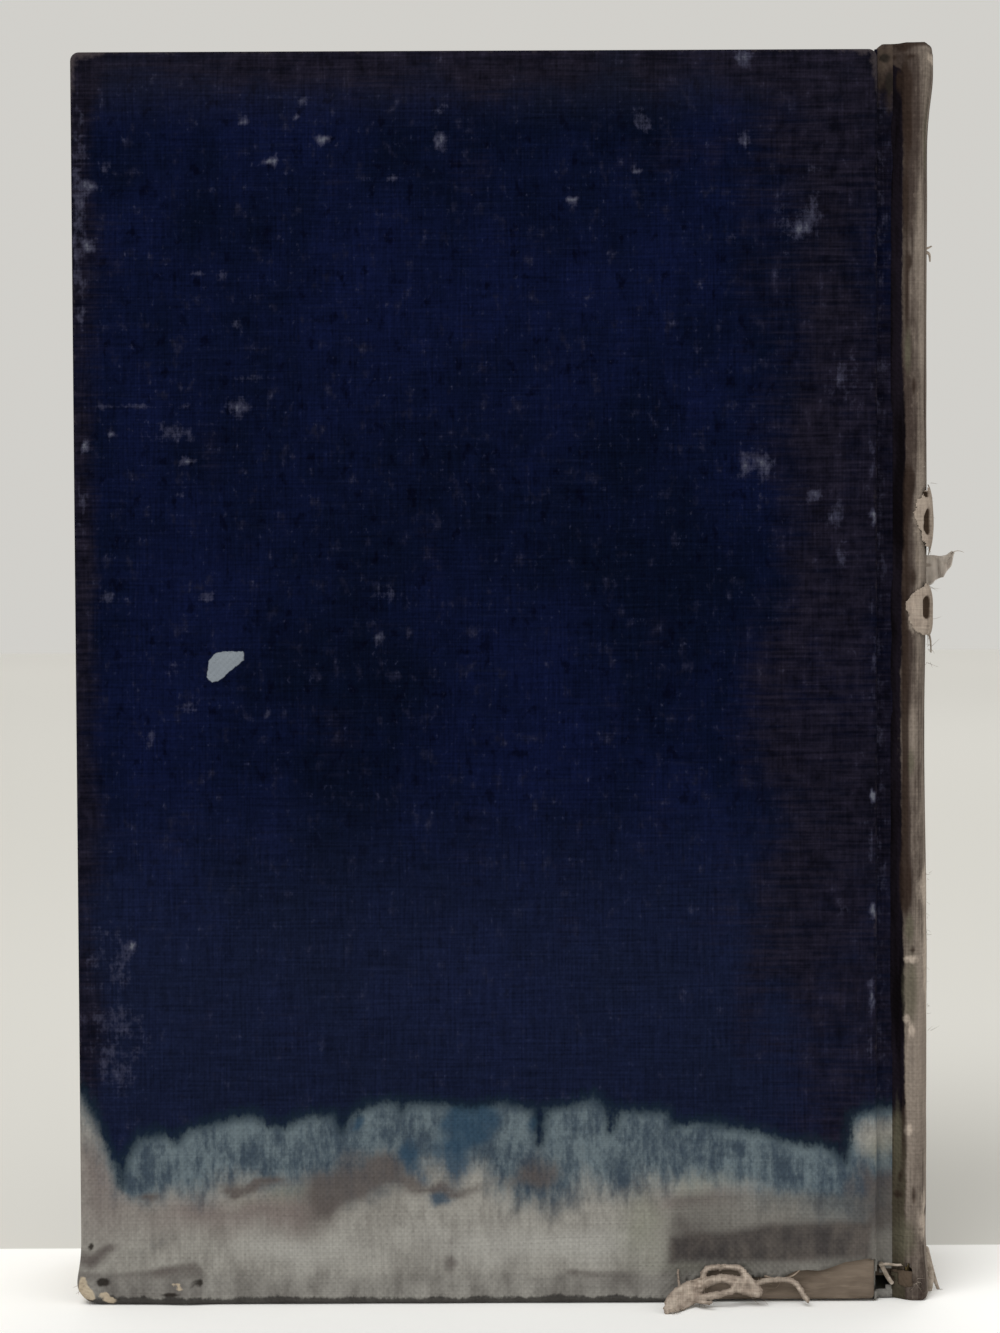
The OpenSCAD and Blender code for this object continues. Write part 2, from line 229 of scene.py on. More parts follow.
# The middle, width, height and strength of each rubbed or chipped place.
SCUFFS = [
    (303, 100, 10, 10, 1.0), (296, 116, 8, 8, 0.9), (248, 123, 10, 8, 0.8), (325, 140, 15, 10, 1.1),
    (272, 162, 14, 10, 1.1), (440, 140, 14, 25, 0.55), (394, 178, 12, 8, 0.6), (396, 135, 8, 12, 0.5),
    (437, 110, 16, 10, 0.5), (200, 272, 22, 8, 0.65), (225, 275, 12, 8, 0.6), (187, 403, 12, 6, 0.8),
    (240, 405, 30, 18, 0.62), (113, 430, 8, 10, 0.7), (190, 456, 12, 8, 0.9), (183, 488, 10, 8, 0.7),
    (207, 592, 18, 10, 0.85), (108, 592, 20, 8, 0.8), (190, 700, 17, 9, 0.85), (382, 632, 7, 12, 0.95),
    (380, 610, 10, 6, 0.5), (269, 708, 10, 8, 0.6), (172, 665, 16, 20, 0.45), (152, 728, 8, 24, 0.5),
    (742, 62, 14, 18, 0.8), (746, 142, 14, 18, 0.8), (637, 172, 14, 9, 0.9), (573, 201, 13, 9, 1.0),
    (619, 104, 10, 8, 0.5), (800, 228, 40, 28, 0.6), (812, 212, 20, 40, 0.5), (782, 212, 18, 14, 0.5),
    (747, 465, 14, 26, 0.75), (764, 462, 18, 28, 0.7), (815, 492, 20, 14, 0.6), (835, 515, 22, 24, 0.5),
    (112, 1045, 14, 10, 0.8), (150, 1035, 12, 22, 0.6), (83, 115, 6, 34, 0.6), (90, 245, 20, 18, 0.85),
    (84, 310, 12, 34, 0.6), (86, 440, 10, 16, 0.8), (84, 500, 8, 60, 0.5), (132, 940, 12, 14, 0.8),
    (79, 215, 15, 190, 0.55), (106, 165, 18, 20, 0.35), (118, 200, 8, 10, 0.4), (155, 82, 10, 12, 0.5),
    (240, 320, 26, 20, 0.4), (86, 185, 26, 14, 0.7), (843, 560, 10, 40, 0.4), (640, 120, 20, 30, 0.4),
    (175, 430, 70, 20, 0.4), (250, 375, 60, 8, 0.35), (805, 170, 60, 5, 0.3), (390, 590, 40, 14, 0.35),
    (866, 52, 26, 5, 1.0), (300, 1205, 6, 6, 0.6), (130, 402, 110, 5, 0.45), (820, 393, 14, 4, 0.6),
    (874, 386, 5, 14, 0.6), (874, 450, 5, 60, 0.35), (874, 514, 6, 18, 1.0), (873, 600, 5, 40, 0.4),
    (874, 655, 5, 44, 0.5), (874, 695, 5, 14, 0.5), (873, 790, 7, 22, 1.1), (872, 830, 5, 60, 0.65),
    (112, 960, 60, 70, 0.32), (116, 1030, 70, 70, 0.36), (118, 1066, 50, 40, 0.4), (845, 380, 36, 60, 0.3),
    (874, 909, 8, 18, 1.1), (873, 992, 6, 38, 0.8), (873, 1060, 6, 60, 0.5), (848, 910, 16, 12, 0.4),
]
# Creases pressed into the cloth, drawn as thin dark lines: painted shade in the creases.
CREASES = [[(662, 168), (740, 171), (818, 170)], [(90, 1247), (112, 1236), (132, 1224)]]
# Below the tide line.
DEEP_BLUE = [
    (462, 1146, 46, 70), (470, 1112, 70, 34), (440, 1192, 34, 26), (415, 1160, 30, 46), (540, 1120, 16, 40),
    (345, 1115, 14, 30),
]
MAUVE = [
    (285, 1206, 90, 44), (195, 1205, 110, 40), (700, 1200, 70, 20), (100, 1175, 60, 110),
]
# Dark patches: dirt, and painted shade on the cover beside the torn flap at (667, 1286).
DIRT_AND_SHADE = [
    (350, 1180, 74, 50), (326, 1202, 46, 44), (386, 1165, 40, 30), (540, 1178, 60, 44), (240, 1176, 30, 10),
    (155, 1187, 30, 8), (865, 1185, 24, 60), (462, 1250, 10, 50), (100, 1254, 44, 20), (690, 1240, 40, 50),
    (265, 1180, 50, 12), (610, 1280, 110, 12), (440, 1180, 110, 14), (880, 1215, 20, 50),
    (667, 1286, 16, 24),
]
MOSS = [
    (648, 1228, 50, 70), (720, 1175, 90, 30), (285, 1190, 60, 20), (880, 1165, 34, 60), (700, 1268, 90, 16),
]
PALE = [
    (520, 1240, 200, 40), (300, 1250, 120, 36), (745, 1208, 50, 18), (600, 1240, 80, 40),
]
BLEACHED_GROOVE, BLEACHED_EDGE = (868, 1132, 56, 60), (128, 1212, 90, 60)
GRIMY = [(770, 150, 220, 90), (830, 700, 120, 700)]
# A bump and the dent in it on the tail edge, and the crumpled corner.
BUMP, DENT, CRUMPLE = (186, 1294, 46, 20), (200, 1280, 12, 14), (95, 1285, 50, 50)
SMEAR = [(76, 1268), (110, 1271), (150, 1267), (198, 1258), (207, 1270), (206, 1293), (150, 1296), (76, 1300)]
# What is left where something was stuck to the cloth: a dark band in a greyer field.
LABEL_BAND = [(671, 1262), (671, 1236), (700, 1231), (740, 1228), (770, 1222), (874, 1220), (875, 1258),
              (780, 1262)]
LABEL_GHOST = [(676, 1196), (700, 1192), (880, 1192), (880, 1310), (664, 1310), (668, 1262), (672, 1230)]
# Where the cloth is gone from the board.
TAIL_TEAR = [(703, 1274), (722, 1267), (741, 1268), (752, 1277), (763, 1275), (786, 1277), (797, 1271),
             (826, 1269), (848, 1262), (872, 1259), (900, 1262), (900, 1330), (682, 1330), (686, 1294),
             (695, 1286)]
CREAM_SPOTS = [
    [(86, 1273), (91, 1273), (93, 1284), (98, 1289), (99, 1297), (86, 1296), (81, 1290), (84, 1285)],
    [(102, 1290), (108, 1288), (119, 1298), (117, 1301), (106, 1299)],
    [(172, 1281), (177, 1280), (184, 1281), (186, 1288), (180, 1287), (175, 1284)],
]
# Small holes and the dark specks beside them, all painted dark: the darkness in the holes and in the slots
# between the torn strips is painted shade.
DARK_SPOTS = [
    (200, 1280, 10, 12), (189, 1284, 6, 10), (172, 1292, 22, 5), (691, 1278, 6, 14), (755, 1277, 5, 6),
    (682, 1287, 5, 5), (106, 1279, 16, 12), (92, 1243, 8, 10), (116, 1289, 8, 6), (122, 1295, 8, 6),
]


def tide_distance(x, z):
    """Distance to the tide line, positive in the navy above it."""
    line = on_cover(TIDE_LINE)
    above = z > np.interp(x, line[:, 0], line[:, 1])
    distance = segment_distance(x, z, line)
    return np.where(above, distance, -distance)


def patches(x, z, blobs, warp=1.0):
    """Soft patches together, their rims made uneven."""
    warped_x = x + warp * (2.2 * wobble(x, z, 6, 101) + 0.9 * wobble(x, z, 2.2, 102))
    warped_z = z + warp * (1.5 * wobble(x, z, 6, 103) + 0.8 * wobble(x, z, 2.2, 104))
    return np.minimum(1.0, sum(blob(warped_x, warped_z, patch) for patch in blobs))


def scuffing(x, z):
    """How far each point is inside a rubbed place: 1 in its middle and 0 at its rim."""
    worst = np.zeros(x.shape)
    x, z = x + 0.5 * wobble(x, z, 1.9, 105), z + 0.5 * wobble(x, z, 1.9, 106)
    for px, py, wide, high, strength in SCUFFS:
        (cx, cz), = on_cover([(px, py)])
        reach = np.hypot((x - cx) / photo_length(wide / 2), (z - cz) / photo_length(high / 2))
        worst = np.maximum(worst, strength * np.clip(1.5 - reach, 0, 1.5))
    return worst


def edge_wear(x, z):
    """Rubbing along the edges of a cover, strongest at its corners."""
    to_edge = np.minimum(np.minimum(x, COVER_W - x), np.minimum(z, COVER_H - z))
    to_corner = np.hypot(np.minimum(x, COVER_W - x), np.minimum(z, COVER_H - z))
    return 0.75 * smooth(-to_edge, -2.2, 0.2) + 0.6 * smooth(-to_corner, -9, 0)


def back_marks(x, z):
    """All that has happened to the back cover, as named fields."""
    return {
        "tide": tide_distance(x, z),
        "chip": inside_distance(x, z, on_cover(CHIP)),
        "scuff": scuffing(x, z),
        "rub": edge_wear(x, z),
        "grime": np.clip(smooth(z, COVER_H - 11, COVER_H - 1) + smooth(-x, -7, 0)
                         + 0.75 * smooth(x + 7 * wobble(x, z, (19, 31), 109), COVER_W - 32, COVER_W - 2)
                         + patches(x, z, GRIMY) * 0.5
                         + 0.35 * wobble(x, z, (7, 15), 108), 0, 1),
        "bleach": np.clip(smooth(-x, -9, -3) + blob(x, z, BLEACHED_GROOVE) + blob(x, z, BLEACHED_EDGE), 0, 1),
        "deep": patches(x, z, DEEP_BLUE),
        "mauve": patches(x, z, MAUVE),
        "dirt_and_shade": np.maximum(patches(x, z, DIRT_AND_SHADE),
                           0.85 * smooth(inside_distance(x, z, on_cover(SMEAR)), -0.9, 0.7)),
        "moss": patches(x, z, MOSS),
        "pale": patches(x, z, PALE),
        "band": inside_distance(x, z, on_cover(LABEL_BAND)),
        "ghost": inside_distance(x, z, on_cover(LABEL_GHOST)),
        "crease_shade": np.maximum.reduce([smooth(-segment_distance(x, z, on_cover(line)), -0.5, 0)
                                     for line in CREASES]),
        "cream": np.maximum.reduce([inside_distance(x, z, on_cover(spot)) for spot in CREAM_SPOTS]),
        "hole": patches(x, z, DARK_SPOTS, 0),
    }


def front_marks(x, z):
    """The hidden front cover is finished plainly: a low faded band at the tail and rubbed edges."""
    level = 16 + 2.5 * wobble(x, z * 0, 22, 71) + 1.2 * wobble(x, z * 0, 7, 72)
    absent = np.full(x.shape, -9.0)
    return {
        "tide": z - level,
        "chip": absent,
        "scuff": 0.5 * np.clip(wobble(x, z, 17, 73) + wobble(x, z, 6, 74) - 0.75, 0, 1),
        "rub": edge_wear(x, z),
        "grime": np.clip(smooth(z, COVER_H - 9, COVER_H - 1) + smooth(-x, -6, 0)
                         + 0.85 * smooth(x, COVER_W - 12, COVER_W - 2), 0, 1),
        "mauve": 0.4 * np.clip(wobble(x, z, 20, 75), 0, 1),
        "dirt_and_shade": 0.8 * np.clip(wobble(x, z, 14, 76), 0, 1),
        "moss": 0.4 * np.clip(wobble(x, z, 16, 77), 0, 1),
        "pale": 0.6 * np.clip(wobble(x, z, 18, 78), 0, 1),
        "band": absent,
        "ghost": absent,
        "cream": absent,
    }


# Meshes.


def link(name, points, faces, material, fields=None, smooth_faces=True):
    """A mesh object from points in millimetres. A field is one number or one vector for each point."""
    mesh = bpy.data.meshes.new(name)
    mesh.from_pydata((np.asarray(points) * MM).tolist(), [], [tuple(f) for f in faces])
    mesh.update()
    for field, values in (fields or {}).items():
        values = np.asarray(values, np.float32)
        kind, key = ("FLOAT", "value") if values.ndim == 1 else ("FLOAT_VECTOR", "vector")
        attribute = mesh.attributes.new(field, kind, "POINT")
        attribute.data.foreach_set(key, values.ravel())
    if smooth_faces:
        mesh.shade_smooth()
    mesh.materials.append(material)
    obj = bpy.data.objects.new(name, mesh)
    bpy.context.scene.collection.objects.link(obj)
    return obj


def grid_faces(columns, rows):
    """Quads of a grid whose points run along its columns first."""
    i, j = np.meshgrid(np.arange(columns - 1), np.arange(rows - 1))
    a = (j * columns + i).ravel()
    return np.stack([a, a + 1, a + 1 + columns, a + columns], axis=1)


def tube_faces(rings, sides):
    """Quads between rings of points, each ring with as many points as the tube has sides."""
    i, j = np.meshgrid(np.arange(rings - 1), np.arange(sides), indexing="ij")
    a, b = (i * sides + j).ravel(), (i * sides + (j + 1) % sides).ravel()
    return np.stack([a, b, b + sides, a + sides], axis=1)


def point_normals(points, faces):
    """The direction that the skin faces at each point."""
    p = points[faces]
    face_normals = np.cross(p[:, 2] - p[:, 0], p[:, 3] - p[:, 1])
    normals = np.zeros_like(points)
    for k in range(4):
        np.add.at(normals, faces[:, k], face_normals)
    return normals / np.maximum(np.linalg.norm(normals, axis=1, keepdims=True), 1e-12)


def thicken(points, faces, fields, depth):
    """Close a sheet of quads into a thin solid, its second skin behind the first."""
    used = np.unique(faces)
    renumber = np.full(len(points), -1)
    renumber[used] = np.arange(len(used))
    faces, points = renumber[faces], points[used]
    fields = {name: np.asarray(values)[used] for name, values in fields.items()}
    count = len(points)
    behind = points - depth * point_normals(points, faces)
    edges = np.concatenate([faces[:, [k, (k + 1) % 4]] for k in range(4)])
    keys = np.sort(edges, axis=1)
    _, index, uses = np.unique(keys, axis=0, return_index=True, return_counts=True)
    rim = edges[index[uses == 1]]
    rim_faces = np.stack([rim[:, 1], rim[:, 0], rim[:, 0] + count, rim[:, 1] + count], axis=1)
    faces = np.concatenate([faces, faces[:, ::-1] + count, rim_faces])
    fields = {name: np.concatenate([values, values]) for name, values in fields.items()}
    return np.concatenate([points, behind]), faces, fields


def trim(x, z, faces, depth_at, reach, may=None):
    """Cut away the faces inside an outline, after drawing the nearest points of the grid on to its rim."""
    step = reach / 10
    may = np.ones(len(x), bool) if may is None else may
    depth = depth_at(x, z)
    rise_x = (depth_at(x + step, z) - depth_at(x - step, z)) / (2 * step)
    rise_z = (depth_at(x, z + step) - depth_at(x, z - step)) / (2 * step)
    pull = np.where(may & (np.abs(depth) < reach), depth / np.maximum(rise_x ** 2 + rise_z ** 2, 0.5), 0)
    x, z = x - pull * rise_x, z - pull * rise_z
    gone = (depth_at(x[faces].mean(axis=1), z[faces].mean(axis=1)) > 0) & may[faces].all(axis=1)
    return x, z, faces[~gone]


def steps(length, count, stretch=1.0):
    """Distances from 0 to a length, the last ones further apart when stretch is over 1."""
    t = np.linspace(0, 1, count + 1)[1:]
    return length * t ** stretch


def wrap(distance, flat, turn_start):
    """Reach beyond the core and drop below the face of cloth that wraps a board's edge."""
    first = np.clip((distance - flat) / EDGE_R, 0, np.pi / 2)
    second = np.clip((distance - flat - ROLL - WALL) / EDGE_R, 0, np.pi / 2)
    down = np.clip(distance - flat - ROLL, 0, WALL)
    turned = np.maximum(0, distance - turn_start)
    reach = np.minimum(distance, flat) + EDGE_R * (np.sin(first) - 1 + np.cos(second)) - turned
    return reach, EDGE_R * (1 - np.cos(first)) + down + EDGE_R * np.sin(second)


def round_corner(reach, along_x, along_z, radius, core_r):
    """A point of a corner's L-shaped line, moved on to the same line with a round corner."""
    far = np.maximum(along_x, along_z)
    share = np.where(along_x >= along_z, 0.5 * along_z / far, 1 - 0.5 * along_x / far)
    bend = np.clip(radius - core_r + reach, 0, None)
    straight = reach - bend
    length = 2 * straight + np.pi / 2 * bend
    travelled = share * length
    angle = np.clip((travelled - straight) / np.maximum(bend, 1e-6), 0, np.pi / 2)
    x = np.where(travelled > length - straight, length - travelled, straight + bend * np.cos(angle))
    z = np.where(travelled < straight, travelled, straight + bend * np.sin(angle))
    return x, z


def cover_sheet(side, corner_radii, cell):
    """The outer skin of a cover's cloth: its face, its rolled edges and three turned-in strips."""
    core_r, spine_turn = BUMPED_R, 3.4
    flat = core_r - EDGE_R
    turn_start = flat + 2 * ROLL + WALL
    to_core = flat - 0.05

    def outward(turn):
        turned = np.concatenate([steps(to_core, 3), to_core + steps(turn - to_core, 4, 1.5)])
        return np.concatenate([steps(flat, 3), flat + steps(ROLL, 4), flat + ROLL + steps(WALL, 2),
                               flat + ROLL + WALL + steps(ROLL, 3), turn_start + turned])

    span_x, span_z = COVER_W - 2 * core_r, COVER_H - 2 * core_r
    fore, spine, ends = outward(TURN_IN), outward(spine_turn), outward(TURN_IN)
    a = np.concatenate([-fore[::-1], np.linspace(0, span_x, round(span_x / cell)), span_x + spine])
    fine = 7  # the lowest rows, where the cloth is torn, are closer together
    rows = np.concatenate([np.arange(0, fine, cell / 2),
                           np.linspace(fine, span_z, round((span_z - fine) / cell))])
    b = np.concatenate([-ends[::-1], rows, span_z + ends])
    A, B = (g.ravel() for g in np.meshgrid(a, b))
    out_x, out_z = np.maximum(-A, A - span_x).clip(0), np.maximum(-B, B - span_z).clip(0)
    far = np.maximum(out_x, out_z)
    reach, drop = wrap(far, flat, turn_start)
    low_x, low_z = A < span_x / 2, B < span_z / 2
    corner = (out_x > 0) & (out_z > 0)
    radius = np.select([low_x & low_z, ~low_x & low_z, ~low_x & ~low_z], corner_radii[:3], corner_radii[3])
    round_x, round_z = round_corner(np.maximum(reach, 0.05), out_x, np.maximum(out_z, 1e-9), radius, core_r)
    go_x = np.where(corner, round_x, np.where(out_x > 0, reach, 0))
    go_z = np.where(corner, round_z, np.where(out_z > 0, reach, 0))
    # Past the core the turned-in strips narrow to a mitre.
    cut = np.maximum(-reach, 0)
    spine_cut = np.minimum(cut, spine_turn - flat)
    x_in = np.interp(A, [0, span_x], [0, 1])
    z_in = np.interp(B, [0, span_z], [0, 1])
    x = np.where(out_x > 0, np.where(low_x, -go_x, span_x + go_x),
                 cut * (out_z > 0) + x_in * (span_x - (cut + spine_cut) * (out_z > 0)))
    z = np.where(out_z > 0, np.where(low_z, -go_z, span_z + go_z),
                 cut * (out_x > 0) + z_in * (span_z - 2 * cut * (out_x > 0)))
    x, z = x + core_r, z + core_r
    faces = grid_faces(len(a), len(b))
    face_reach, face_corner = reach[faces].min(axis=1), corner[faces].sum(axis=1)
    in_corner = (face_corner >= 1) & (out_x[faces].max(axis=1) > 0) & (out_z[faces].max(axis=1) > 0)
    faces = faces[~(in_corner & (face_reach < 0.04) & (drop[faces].min(axis=1) > EDGE_R))]
    sheet = {"x": x, "z": z, "drop": drop, "a": A, "b": B}
    if side > 0:
        faces = faces[:, ::-1]
    return sheet, faces


def cover_relief(x, z, drop, seed):
    """Small dents, cockled cloth near the tail and softened edges, outwards positive."""
    on_face = smooth(-drop, -0.6, -0.05)
    damp = smooth(-z, -42, -14)
    relief = 0.05 * wobble(x, z, 30, seed) + 0.025 * wobble(x, z, 9, seed + 1)
    relief += damp * (0.05 * wobble(x, z, (3.5, 16), seed + 2) + 0.03 * wobble(x, z, 5, seed + 3))
    return on_face * relief


def back_relief(x, z, drop):
    """What only the back cover has: cloth lifted beside the tear and bumped up at two places on the tail."""
    on_face = smooth(-drop, -1.6, -0.05)
    lifted = 0.35 * smooth(tear_distance(x, z), -2.4, 0.2) * (0.7 + 0.5 * wobble(x, z, 1.8, 35))
    lifted = lifted * smooth(COVER_W - x, 6, 12)  # not in the strip over the shoulder of an open cover
    bump = 0.6 * blob(x, z, BUMP) - 0.35 * blob(x, z, DENT)
    crumple = 0.25 * blob(x, z, CRUMPLE) * wobble(x, z, 1.5, 36)
    return on_face * (lifted + bump + crumple)


def tear_distance(x, z):
    """Distance to the place at the tail where the cloth is gone, positive inside it."""
    ragged = 0.3 * wobble(x, z, (2.6, 1.8), 31) + 0.12 * wobble(x, z, 1.2, 32)
    return inside_distance(x, z, on_cover(TAIL_TEAR)) + ragged


def make_cover(which, side, radii, marks, material):
    """The cloth of one cover, drawn on to its board and turned in on three sides."""
    sheet, faces = cover_sheet(side, radii, COVER_CELL)
    x, z, drop = sheet["x"], sheet["z"], sheet["drop"]
    inside = smooth(drop, OUTER - INNER - 0.8, OUTER - INNER - 0.1)
    if side < 0:
        x, z, faces = trim(x, z, faces, tear_distance, 0.43, inside < 0.3)
    fields = marks(x, z)
    fields["inside"] = inside
    fields["flat"] = np.stack([sheet["a"], sheet["b"], np.full(len(x), NOISE_APART * side)], axis=1)
    under_paper = np.minimum(np.minimum(x + FORE_X - PASTED_LOW[0], z - PASTED_LOW[2]), PASTED_HIGH[2] - z)
    sunk = (LEAF_T + 0.03) * inside * smooth(under_paper, -0.4, 0.4)
    v = OUTER - drop + sunk + cover_relief(x, z, drop, 5 if side < 0 else 15)
    if side < 0:
        v = v + back_relief(x, z, drop)
        splay = hump(x, z, 0, 3, BUMPED_R + 0.1, BUMPED_R + 0.1)  # the bumped corner is spread sideways
        x = x - 0.7 * splay
    points = np.stack([x + FORE_X, side * v, np.maximum(z, 0.02)], axis=1)
    points, faces, fields = thicken(points, faces, fields, CLOTH_T)
    obj = link(f"{which}_cover_cloth", points, faces, material, fields)
    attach(obj, f"{which}_cover")
    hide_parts(f"{which}_cloth")


# The outline of the spine.


def flare_point(t, out):
    """A point on the shoulder from its foot to its tip, moved out from the pages."""
    slope = 2 * SHOULDER * t / FLARE_LEN
    n = np.hypot(slope, 1)
    return FOOT_X + FLARE_LEN * t - out * slope / n, SIDE + SHOULDER * t * t + out / n


def half_outline(out, build):
    """From the foot of a shoulder over its crest to the crown: out from the pages, build from the back."""
    path = [flare_point(t, out) for t in np.linspace(0, 1, 13)]
    start = np.pi / 2 + np.arctan(2 * SHOULDER / FLARE_LEN)
    for a in np.linspace(start, TIP_ANGLE, 25)[1:-1]:
        u = np.clip((np.pi / 2 - a) / (np.pi / 2 - TIP_ANGLE), 0, 1)
        r = out + (build - out) * u * u * (3 - 2 * u)
        path.append((TIP_X + r * np.cos(a), TIP_V + r * np.sin(a)))
    for a in np.linspace(TIP_ANGLE, 0, 40):
        path.append((CENTRE_X + (BACK_R + build) * np.cos(a), (BACK_R + build) * np.sin(a)))
    return np.array(path)


def lengths_along(path):
    """The distance of each point of a path from its start, along it."""
    return np.concatenate([[0], np.cumsum(np.hypot(*np.diff(path, axis=0).T))])


def resample(path, spacing):
    """A path with evenly spaced points, and their distances along it."""
    lengths = lengths_along(path)
    s = np.linspace(0, lengths[-1], max(2, round(lengths[-1] / spacing) + 1))
    return np.stack([np.interp(s, lengths, path[:, 0]), np.interp(s, lengths, path[:, 1])], axis=1), s


# The outline of the covered spine, as distance round it from the crown, positive towards the front cover.
HALF_SPINE, _ = resample(half_outline(GROOVE_V - SIDE, CASE_BUILD), SPINE_CELL)
SPINE_OUTLINE = np.concatenate([HALF_SPINE * [1, -1], HALF_SPINE[::-1][1:]])
SPINE_S = lengths_along(SPINE_OUTLINE)
SPINE_S = SPINE_S - SPINE_S[-1] / 2
ALONG = np.gradient(SPINE_OUTLINE, axis=0)
SPINE_NORMAL = np.stack([ALONG[:, 1], -ALONG[:, 0]], axis=1) / np.hypot(*ALONG.T)[:, None]

# Columns of the photograph over the visible flank of the spine, from the groove to the last that shows.
FLANK = SPINE_S < -9.4
FLANK_S = SPINE_S[FLANK]
FLANK_PX = (PHOTO_W / 2 + FOCAL_PIXELS * (SPINE_OUTLINE[FLANK, 0] - CAMERA_PLACE[0])
            / (SPINE_OUTLINE[FLANK, 1] - CAMERA_PLACE[1]))


def on_flank(points):
    """Photograph pixels to distance round the spine and height above the tail."""
    px, py = np.asarray(points, float).T
    return np.stack([np.interp(px, FLANK_PX, FLANK_S), photo_height(py)], axis=1)


def flank_patches(s, z, blobs):
    """Soft patches on the flank of the spine together."""
    total = np.zeros(s.shape)
    for px, py, wide, high in blobs:
        corners = [(px - wide / 2, py + high / 2), (px + wide / 2, py - high / 2)]
        (left, low), (right, top) = on_flank(corners)
        reach_s, reach_z = max(0.5, (right - left) / 2), (top - low) / 2
        total += hump(s, z, (left + right) / 2, (low + top) / 2, reach_s, reach_z)
    return np.minimum(1.0, total)


def spine_place(s, out):
    """Points at a distance round the spine, moved outwards from its surface."""
    xy = np.stack([np.interp(s, SPINE_S, SPINE_OUTLINE[:, k]) for k in (0, 1)], axis=-1)
    normal = np.stack([np.interp(s, SPINE_S, SPINE_NORMAL[:, k]) for k in (0, 1)], axis=-1)
    return xy + np.asarray(out)[..., None] * normal


def under_open_cover(points, spare):
    """Points of the spine, eased in to stay clear of a cover that lies fully open."""
    ease = 0.15
    limit = SPINE_HIGH[1] + spare - ease
    over = np.clip(np.abs(points[:, 1]) - limit, 0, None)
    y = np.minimum(np.abs(points[:, 1]), limit) + ease * np.tanh(over / ease)
    return np.column_stack([points[:, 0], np.sign(points[:, 1]) * y, points[:, 2]])


# Slots in the two torn patches, sunk and painted dark as the shadow in them, by distance round the spine and
# height, with their width and height.
UPPER_SLOTS = [((-15.65, 123.3), (0.95, 3.9)), ((-15.8, 127.6), (0.7, 0.8))]
LOWER_SLOTS = [((-15.9, 109.8), (0.95, 3.5))]
# Holes at the tail of the shoulder, in pixels of the photograph.
WORN_AT_SHOULDER = [
    [(890, 1268), (895, 1267), (896, 1274), (893, 1278), (890, 1275)],
    [(898, 1269), (912, 1267), (915, 1276), (914, 1288), (905, 1290), (898, 1287)],
    [(891, 1280), (895, 1280), (895, 1288), (891, 1288)],
]
SPINE_HOLES = [on_flank(outline) for outline in WORN_AT_SHOULDER]
# Worn slits at the head of the groove, painted dark with the shade inside them rather than cut: distance
# across it, distance down, half width and half height.
WORN_GROOVE = [(3.2, 5.0, 0.8, 2.2), (2.4, 1.1, 1.3, 0.8), (0.9, 8.5, 0.5, 1.0)]
# Patches on the flank of the spine, in pixels of the photograph.
CREAM_FLANK = [
    (920, 518, 14, 60), (914, 612, 20, 40), (922, 884, 12, 40), (925, 965, 7, 130), (910, 958, 16, 8),
    (922, 1218, 8, 60), (907, 1018, 8, 10), (912, 1030, 8, 16), (909, 1130, 12, 14), (926, 60, 13, 12),
]
OLIVE_FLANK = [
    (911, 990, 18, 90), (911, 760, 9, 34), (903, 1240, 34, 50), (908, 350, 8, 60), (898, 1140, 8, 90),
    (910, 925, 10, 30), (924, 140, 4, 90),
]
# Dark patches on the flank: dirt, and painted shade in the slits at the head, (894, 59), (912, 60) and (898,
# 82), and round the holes at the tail, (899, 1269) and (915, 1281).
DARK_FLANK = [
    (907, 888, 13, 50), (908, 85, 16, 36), (905, 600, 7, 60), (910, 262, 6, 14), (914, 385, 5, 24),
    (899, 50, 34, 8), (912, 480, 8, 24), (897, 1196, 14, 12), (915, 1195, 4, 26), (900, 1178, 6, 14),
    (913, 948, 8, 10), (904, 700, 5, 60), (905, 820, 6, 60), (925, 1215, 4, 14), (894, 59, 8, 9),
    (912, 60, 10, 6), (898, 82, 5, 24), (908, 490, 11, 80), (914, 575, 9, 26), (906, 550, 7, 110),
    (899, 1269, 7, 7), (915, 1281, 5, 16), (910, 130, 6, 60), (906, 200, 7, 70), (906, 660, 8, 110),
    (906, 770, 9, 190), (905, 870, 9, 70), (905, 110, 7, 110), (906, 290, 8, 130), (905, 1130, 5, 120),
]


def spine_tear_distance(s, z):
    """Distance to the holes at the tail of the shoulder, positive inside them."""
    ragged = 0.22 * wobble(s, z, 1.2, 41) + 0.15 * wobble(s, z, (0.7, 2.5), 42)
    return np.maximum.reduce([inside_distance(s, z, outline) for outline in SPINE_HOLES]) + ragged


# Middle, reach and strength of each paler or darker length of the spine.
FADED_BANDS = [(42, 24, 0.85), (124, 8, 0.5), (162, 10, 0.42), (185, 10, -0.18)]


